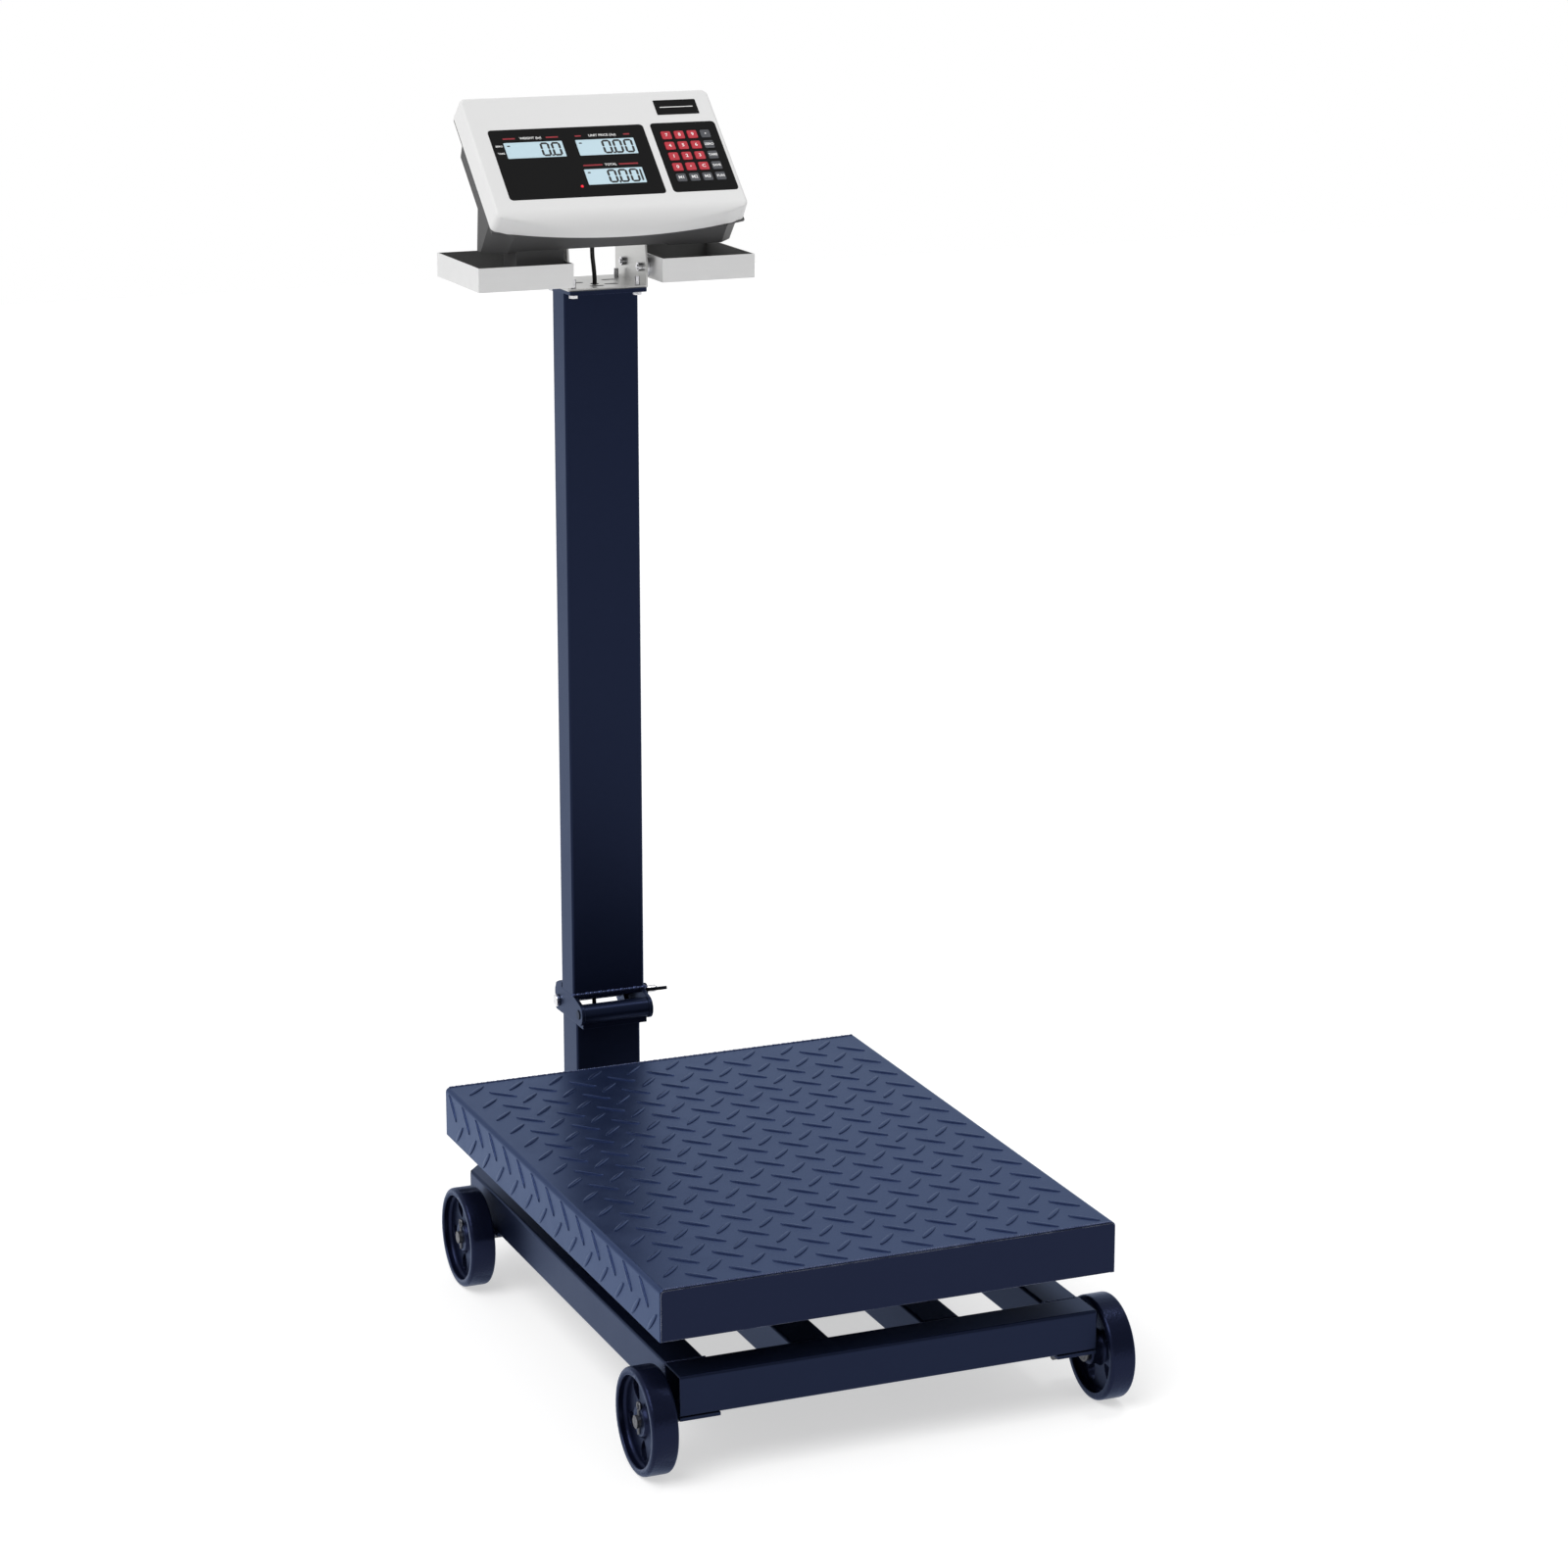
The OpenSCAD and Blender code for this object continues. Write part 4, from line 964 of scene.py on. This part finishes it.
BARS = {"a": ((0, 1), (1, 1)), "g": ((0, 0.5), (1, 0.5)), "d": ((0, 0), (1, 0)), "f": ((0, 0.5), (0, 1)),
        "b": ((1, 0.5), (1, 1)), "e": ((0, 0), (0, 0.5)), "c": ((1, 0), (1, 0.5))}


def digit(shape, u, v, wide, tall, height, gap=0.2, thick=2.3):
    """A seven-bar digit whose lower left corner is at (u, v)."""
    bars = []
    for letter in shape:
        (x0, y0), (x1, y1) = BARS[letter]
        ends = [u + x0 * wide, v + y0 * tall, u + x1 * wide, v + y1 * tall]
        if y0 == y1:
            ends[0] += gap
            ends[2] -= gap
        else:
            ends[1] += gap
            ends[3] -= gap
        bars.append(segment(*ends, thick, height))
    return bars


DIGIT_WIDE = 7.4
DIGIT_PITCH = 11.6
DIGIT_MARGIN = 2.9
GLASS_LEVEL = -0.05


def readout(name, place, digits, right_gap, tail=False):
    """A display window: pale glass, dark digits at its right end and a small arrow at the left."""
    u0, v0, u1, v1 = place
    pane = (u0 + 0.3, v0 + 0.3, u1 - 0.3, v1 - 0.3)
    glass = face_tile(name + "_glass", pane, -6, GLASS_LEVEL, 0.8, 0.2, LCD)
    tall = (v1 - v0) - 2 * DIGIT_MARGIN
    base = v0 + DIGIT_MARGIN
    marks = []
    right = u1 - right_gap
    for place_from_right, kind in enumerate(reversed(digits)):
        left = right - DIGIT_WIDE - place_from_right * DIGIT_PITCH
        marks += digit("abcdef", left, base, DIGIT_WIDE, tall, GLASS_LEVEL)
        if kind == "dot":
            dot = left + DIGIT_WIDE + 1.5
            marks.append(segment(dot, base - 1.0, dot + 1.8, base + 0.8, 1.8, GLASS_LEVEL))
    if tail:
        marks.append(segment(right + 3.6, base, right + 3.6, base + tall, 2.0, GLASS_LEVEL))
    arrow = (u0 + 3.2, v1 - 5.6, u0 + 6.4, v1 - 4.0)
    marks.append(face_tile("arrow", arrow, -0.06, 0.0, 0.7, 0.02, INK_BLACK))
    whole = joined(name, [glass] + marks)
    whole.data.transform(ON_FACE)
    return whole


def screens():
    """The three displays, joined for one node, with the legends printed round them."""
    parts = [readout("lcd_weight", PANELS["lcd_weight"], ["dot", "plain"], 4.5),
             readout("lcd_price", PANELS["lcd_price"], ["dot", "plain", "plain"], 4.0),
             readout("lcd_total", PANELS["lcd_total"], ["dot", "plain", "plain"], 7.0, tail=True)]
    stands_for(joined("display_windows", parts), "lcd_modules")
    level = 0.32
    prints = []
    legends = (("WEIGHT (kg)", PANELS["lcd_weight"]), ("UNIT PRICE (/kg)", PANELS["lcd_price"]),
               ("TOTAL", PANELS["lcd_total"]))
    for words, (u0, v0, u1, v1) in legends:
        middle = (u0 + u1) / 2
        prints.append(lettering("legend", words, middle - 1, v1 + 4.4, 4.0, level, INK_WHITE, 0.07))
        half_word = len(words) * 1.25
        reach = 29
        for side in (-1, 1):
            ends = sorted((middle - 1 + side * (half_word + 2.5), middle - 1 + side * reach))
            prints.append(face_tile("stripe", (ends[0], v1 + 3.6, ends[1], v1 + 5.4), level - 0.06, level,
                                    0.2, 0.02, INK_RED))
    for words, v in (("ZERO", 14.0), ("TARE", 4.5)):
        prints.append(lettering("legend", words, -102.2, v, 3.0, level, INK_WHITE, 0.06))
    ink = joined("display_legends", prints)
    ink.data.transform(ON_FACE)
    belongs(ink, "head")
    nothing_selected()
    bpy.ops.mesh.primitive_uv_sphere_add(segments=20, ring_count=10, radius=1.5 * MM,
                                         location=(-30.6 * MM, -42.6 * MM, 0.3 * MM))
    lamp = settle(named("charge_lamp", LAMP_RED))
    edit(lamp, "VERT")
    bpy.ops.mesh.select_all(action="SELECT")
    bpy.ops.mesh.bisect(plane_co=(0, 0, 0), plane_no=(0, 0, 1), clear_inner=True, use_fill=True)
    done()
    only(lamp)
    bpy.ops.object.shade_smooth()
    lamp.data.transform(ON_FACE)
    belongs(lamp, "head")
    plate = face_tile("name_plate", PANELS["plate"], -0.4, 0.45, 0.8, 0.25, OVERLAY)
    u0, v0, u1, v1 = PANELS["plate"]
    rule = face_tile("plate_line", (u0 + 5, (v0 + v1) / 2 - 0.5, u1 - 5, (v0 + v1) / 2 + 0.5), 0.4, 0.52,
                     0.3, 0.05, INK_WHITE)
    plate = joined("name_plate", [plate, rule])
    plate.data.transform(ON_FACE)
    belongs(plate, "head")


KEYS = {"key_7": ("7", 0, 0), "key_8": ("8", 1, 0), "key_9": ("9", 2, 0), "key_clear": ("•", 3, 0),
        "key_4": ("4", 0, 1), "key_5": ("5", 1, 1), "key_6": ("6", 2, 1), "key_zero_set": ("ZERO", 3, 1),
        "key_1": ("1", 0, 2), "key_2": ("2", 1, 2), "key_3": ("3", 2, 2), "key_tare": ("TARE", 3, 2),
        "key_0": ("0", 0, 3), "key_point": ("•", 1, 3), "key_c": ("C", 2, 3), "key_save": ("SAVE", 3, 3),
        "key_m1": ("M1", 0, 4), "key_m2": ("M2", 1, 4), "key_m3": ("M3", 2, 4), "key_add": ("FUN", 3, 4)}


FIRST_KEY = (76.3, 19.2)
KEY_PITCH = (14.0, 14.1)
KEY_SIDE = 10.4
KEY_TOP = 0.8
MARK_SIZE = {1: 5.6, 2: 5.2, 3: 4.3, 4: 3.9}


def keypad():
    """Twenty key caps with printed legends."""
    half = KEY_SIDE / 2
    for node, (words, column, row) in KEYS.items():
        u = FIRST_KEY[0] + column * KEY_PITCH[0]
        v = FIRST_KEY[1] - row * KEY_PITCH[1]
        paint = SLOT_PAINT[SLOT_OF[node]]
        cap = face_tile("cap", (u - half, v - half, u + half, v + half), -2.8, KEY_TOP, 1.5, 0.45, paint)
        mark = lettering("mark", words, u, v, MARK_SIZE[len(words)], KEY_TOP + 0.02, INK_WHITE, 0.1)
        key = joined(node + "_cap", [cap, mark])
        key.data.transform(ON_FACE)
        stands_for(key, node)


def shade_tray_insides(trays):
    """Gives the insides of both trays a darker copy of the tray steel: painted shade for the dark reflections seen
    inside them.
    """
    low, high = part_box("trays")
    inner = min(abs(v.co.x) for v in trays.data.vertices)
    trays.data.materials.append(STEEL_SHADED_INSIDE)
    skin = 2 * MM

    def inside(at):
        return (low.x + skin * 0.4 < at.x < high.x - skin * 0.4 and abs(at.x) > inner + skin * 0.4
                and low.y + skin * 0.4 < at.y < high.y - skin * 0.4 and at.z < high.z - skin * 0.2)

    pick(trays, "FACE", lambda at, normal: inside(at) and normal.z > -0.5 and at.z > low.z + skin * 0.4)
    trays.active_material_index = 1
    bpy.ops.object.material_slot_assign()
    done()


# ---------------------------------------------------------------- cables
def cable(name, route, radius):
    """A smooth round cable through a route, as a mesh."""
    curve = bpy.data.curves.new(name, "CURVE")
    curve.dimensions = "3D"
    curve.bevel_depth = radius
    curve.bevel_resolution = 5
    curve.resolution_u = 8
    curve.use_fill_caps = True
    line = curve.splines.new("BEZIER")
    line.bezier_points.add(len(route) - 1)
    for point, place in zip(line.bezier_points, route):
        point.co = place
        point.handle_left_type = "AUTO"
        point.handle_right_type = "AUTO"
    piece = bpy.data.objects.new(name, curve)
    bpy.context.scene.collection.objects.link(piece)
    only(piece)
    bpy.ops.object.convert(target="MESH")
    piece = named(name, CABLE)
    only(piece)
    bpy.ops.object.shade_smooth()
    return piece


CABLE_RADIUS = 2.2 * MM
# the cable's points in millimetres, measured fore and aft from the deck's middle
UNDER_DECK = ((0, 76, 116), (0, 90, 112), (0, 104, 106), (0, 120, 103.5), (0, 200, 103.5), (0, 300, 103.5),
              (0, 400, 103.5), (0, 440, 103.5), (-4, 446, 108), (-8, 448, 116), (-10, 448.4, 126),
              (-10, 448.4, 172))
THROUGH_HINGE = ((-10, 448.4, 172), (-10, 448.4, 188), (-10, 448.4, 204), (-10, 448.4, 220),
                 (-10, 448.4, 238))
IN_COLUMN = ((-10, 448.4, 238), (-10, 448.4, 500), (-10, 448.4, 900), (-8, 446, 920), (-5, 443, 935),
             (-3, 441.4, 948), (-3, 441.4, 961.5))
TO_HEAD = ((-3, 441.4, 961.5), (-3, 441.4, 966), (-4, 441, 977), (-6, 439, 990), (-7, 436, 1006),
           (-7, 434, 1022), (-7, 434, 1035))


def on_scale(x, y, z):
    """A place of the cable, carried from the deck's middle to the scale's own frame."""
    return Vector((x * MM, y * MM + DECK_MID.y, z * MM))


def stretch(name, points, node):
    """One stretch of the cable, shown instead of its node."""
    piece = cable(name, [on_scale(*point) for point in points], CABLE_RADIUS)
    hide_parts(node)
    return piece


def cables():
    """The signal cable's four stretches; the two over a joint are left in place on no body."""
    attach(stretch("cable_under_deck", UNDER_DECK, "base_cable"), "base")
    hinge = stretch("cable_through_hinge", THROUGH_HINGE, "hinge_cable")
    tuple(on_scale(-10, 448.4, 186))
    tuple(on_scale(-10, 448.4, 222))
    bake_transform(hinge)
    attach(stretch("cable_in_column", IN_COLUMN, "mast_cable"), "mast")
    head = stretch("cable_to_head", TO_HEAD, "head_cable")
    tuple(on_scale(-3, 441.4, 968))
    tuple(on_scale(-7, 434, 1030))
    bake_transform(head)


# ---------------------------------------------------------------- everything
EASED = {"cross_beams": 0.8, "long_rails": 0, "rear_struts": 0.8, "axle_brackets": 0.5, "axles": 0.5,
         "axle_retainers": 0.3, "lower_post": 0.6, "load_cell": 0.6, "cell_plates": 0.5, "cell_screws": 0.4,
         "spider_frame": 0.8, "rubber_pads": 0.8, "upper_post": 0, "ear_plates": 0.6, "pivot_pin": 0.6,
         "latch_bolt": 0.8, "cap_plate": 0.7, "bracket_screws": 0.5, "tilt_knob_left": 0.7,
         "tilt_knob_right": 0.7, "rear_shell": 1.6, "display_panel": 0.2, "keypad_panel": 0.15,
         "circuit_board": 0.2, "battery_pack": 1.5, "shell_screws": 0.3, "head_bracket": 0.4, "trays": 0.3,
         "wing_nut": 0.9}

FINISH = {"trays": STEEL_TRAY, "axle_retainers": DULL_ZINC, "axles": DULL_ZINC}

studio()
for node_name, node in frame["nodes"].items():
    # every node starts in its own finish; those that a modelled piece replaces are hidden later
    node.data.materials.clear()
    node.data.materials.append(SLOT_PAINT[SLOT_OF[node_name]])
for node_name, ease in EASED.items():
    eased(node_name, ease, paint=FINISH.get(node_name))
shade_tray_insides(bpy.data.objects["trays_finished"])
cables()
deck()
welds()
wheels()
front_shell()
screens()
keypad()
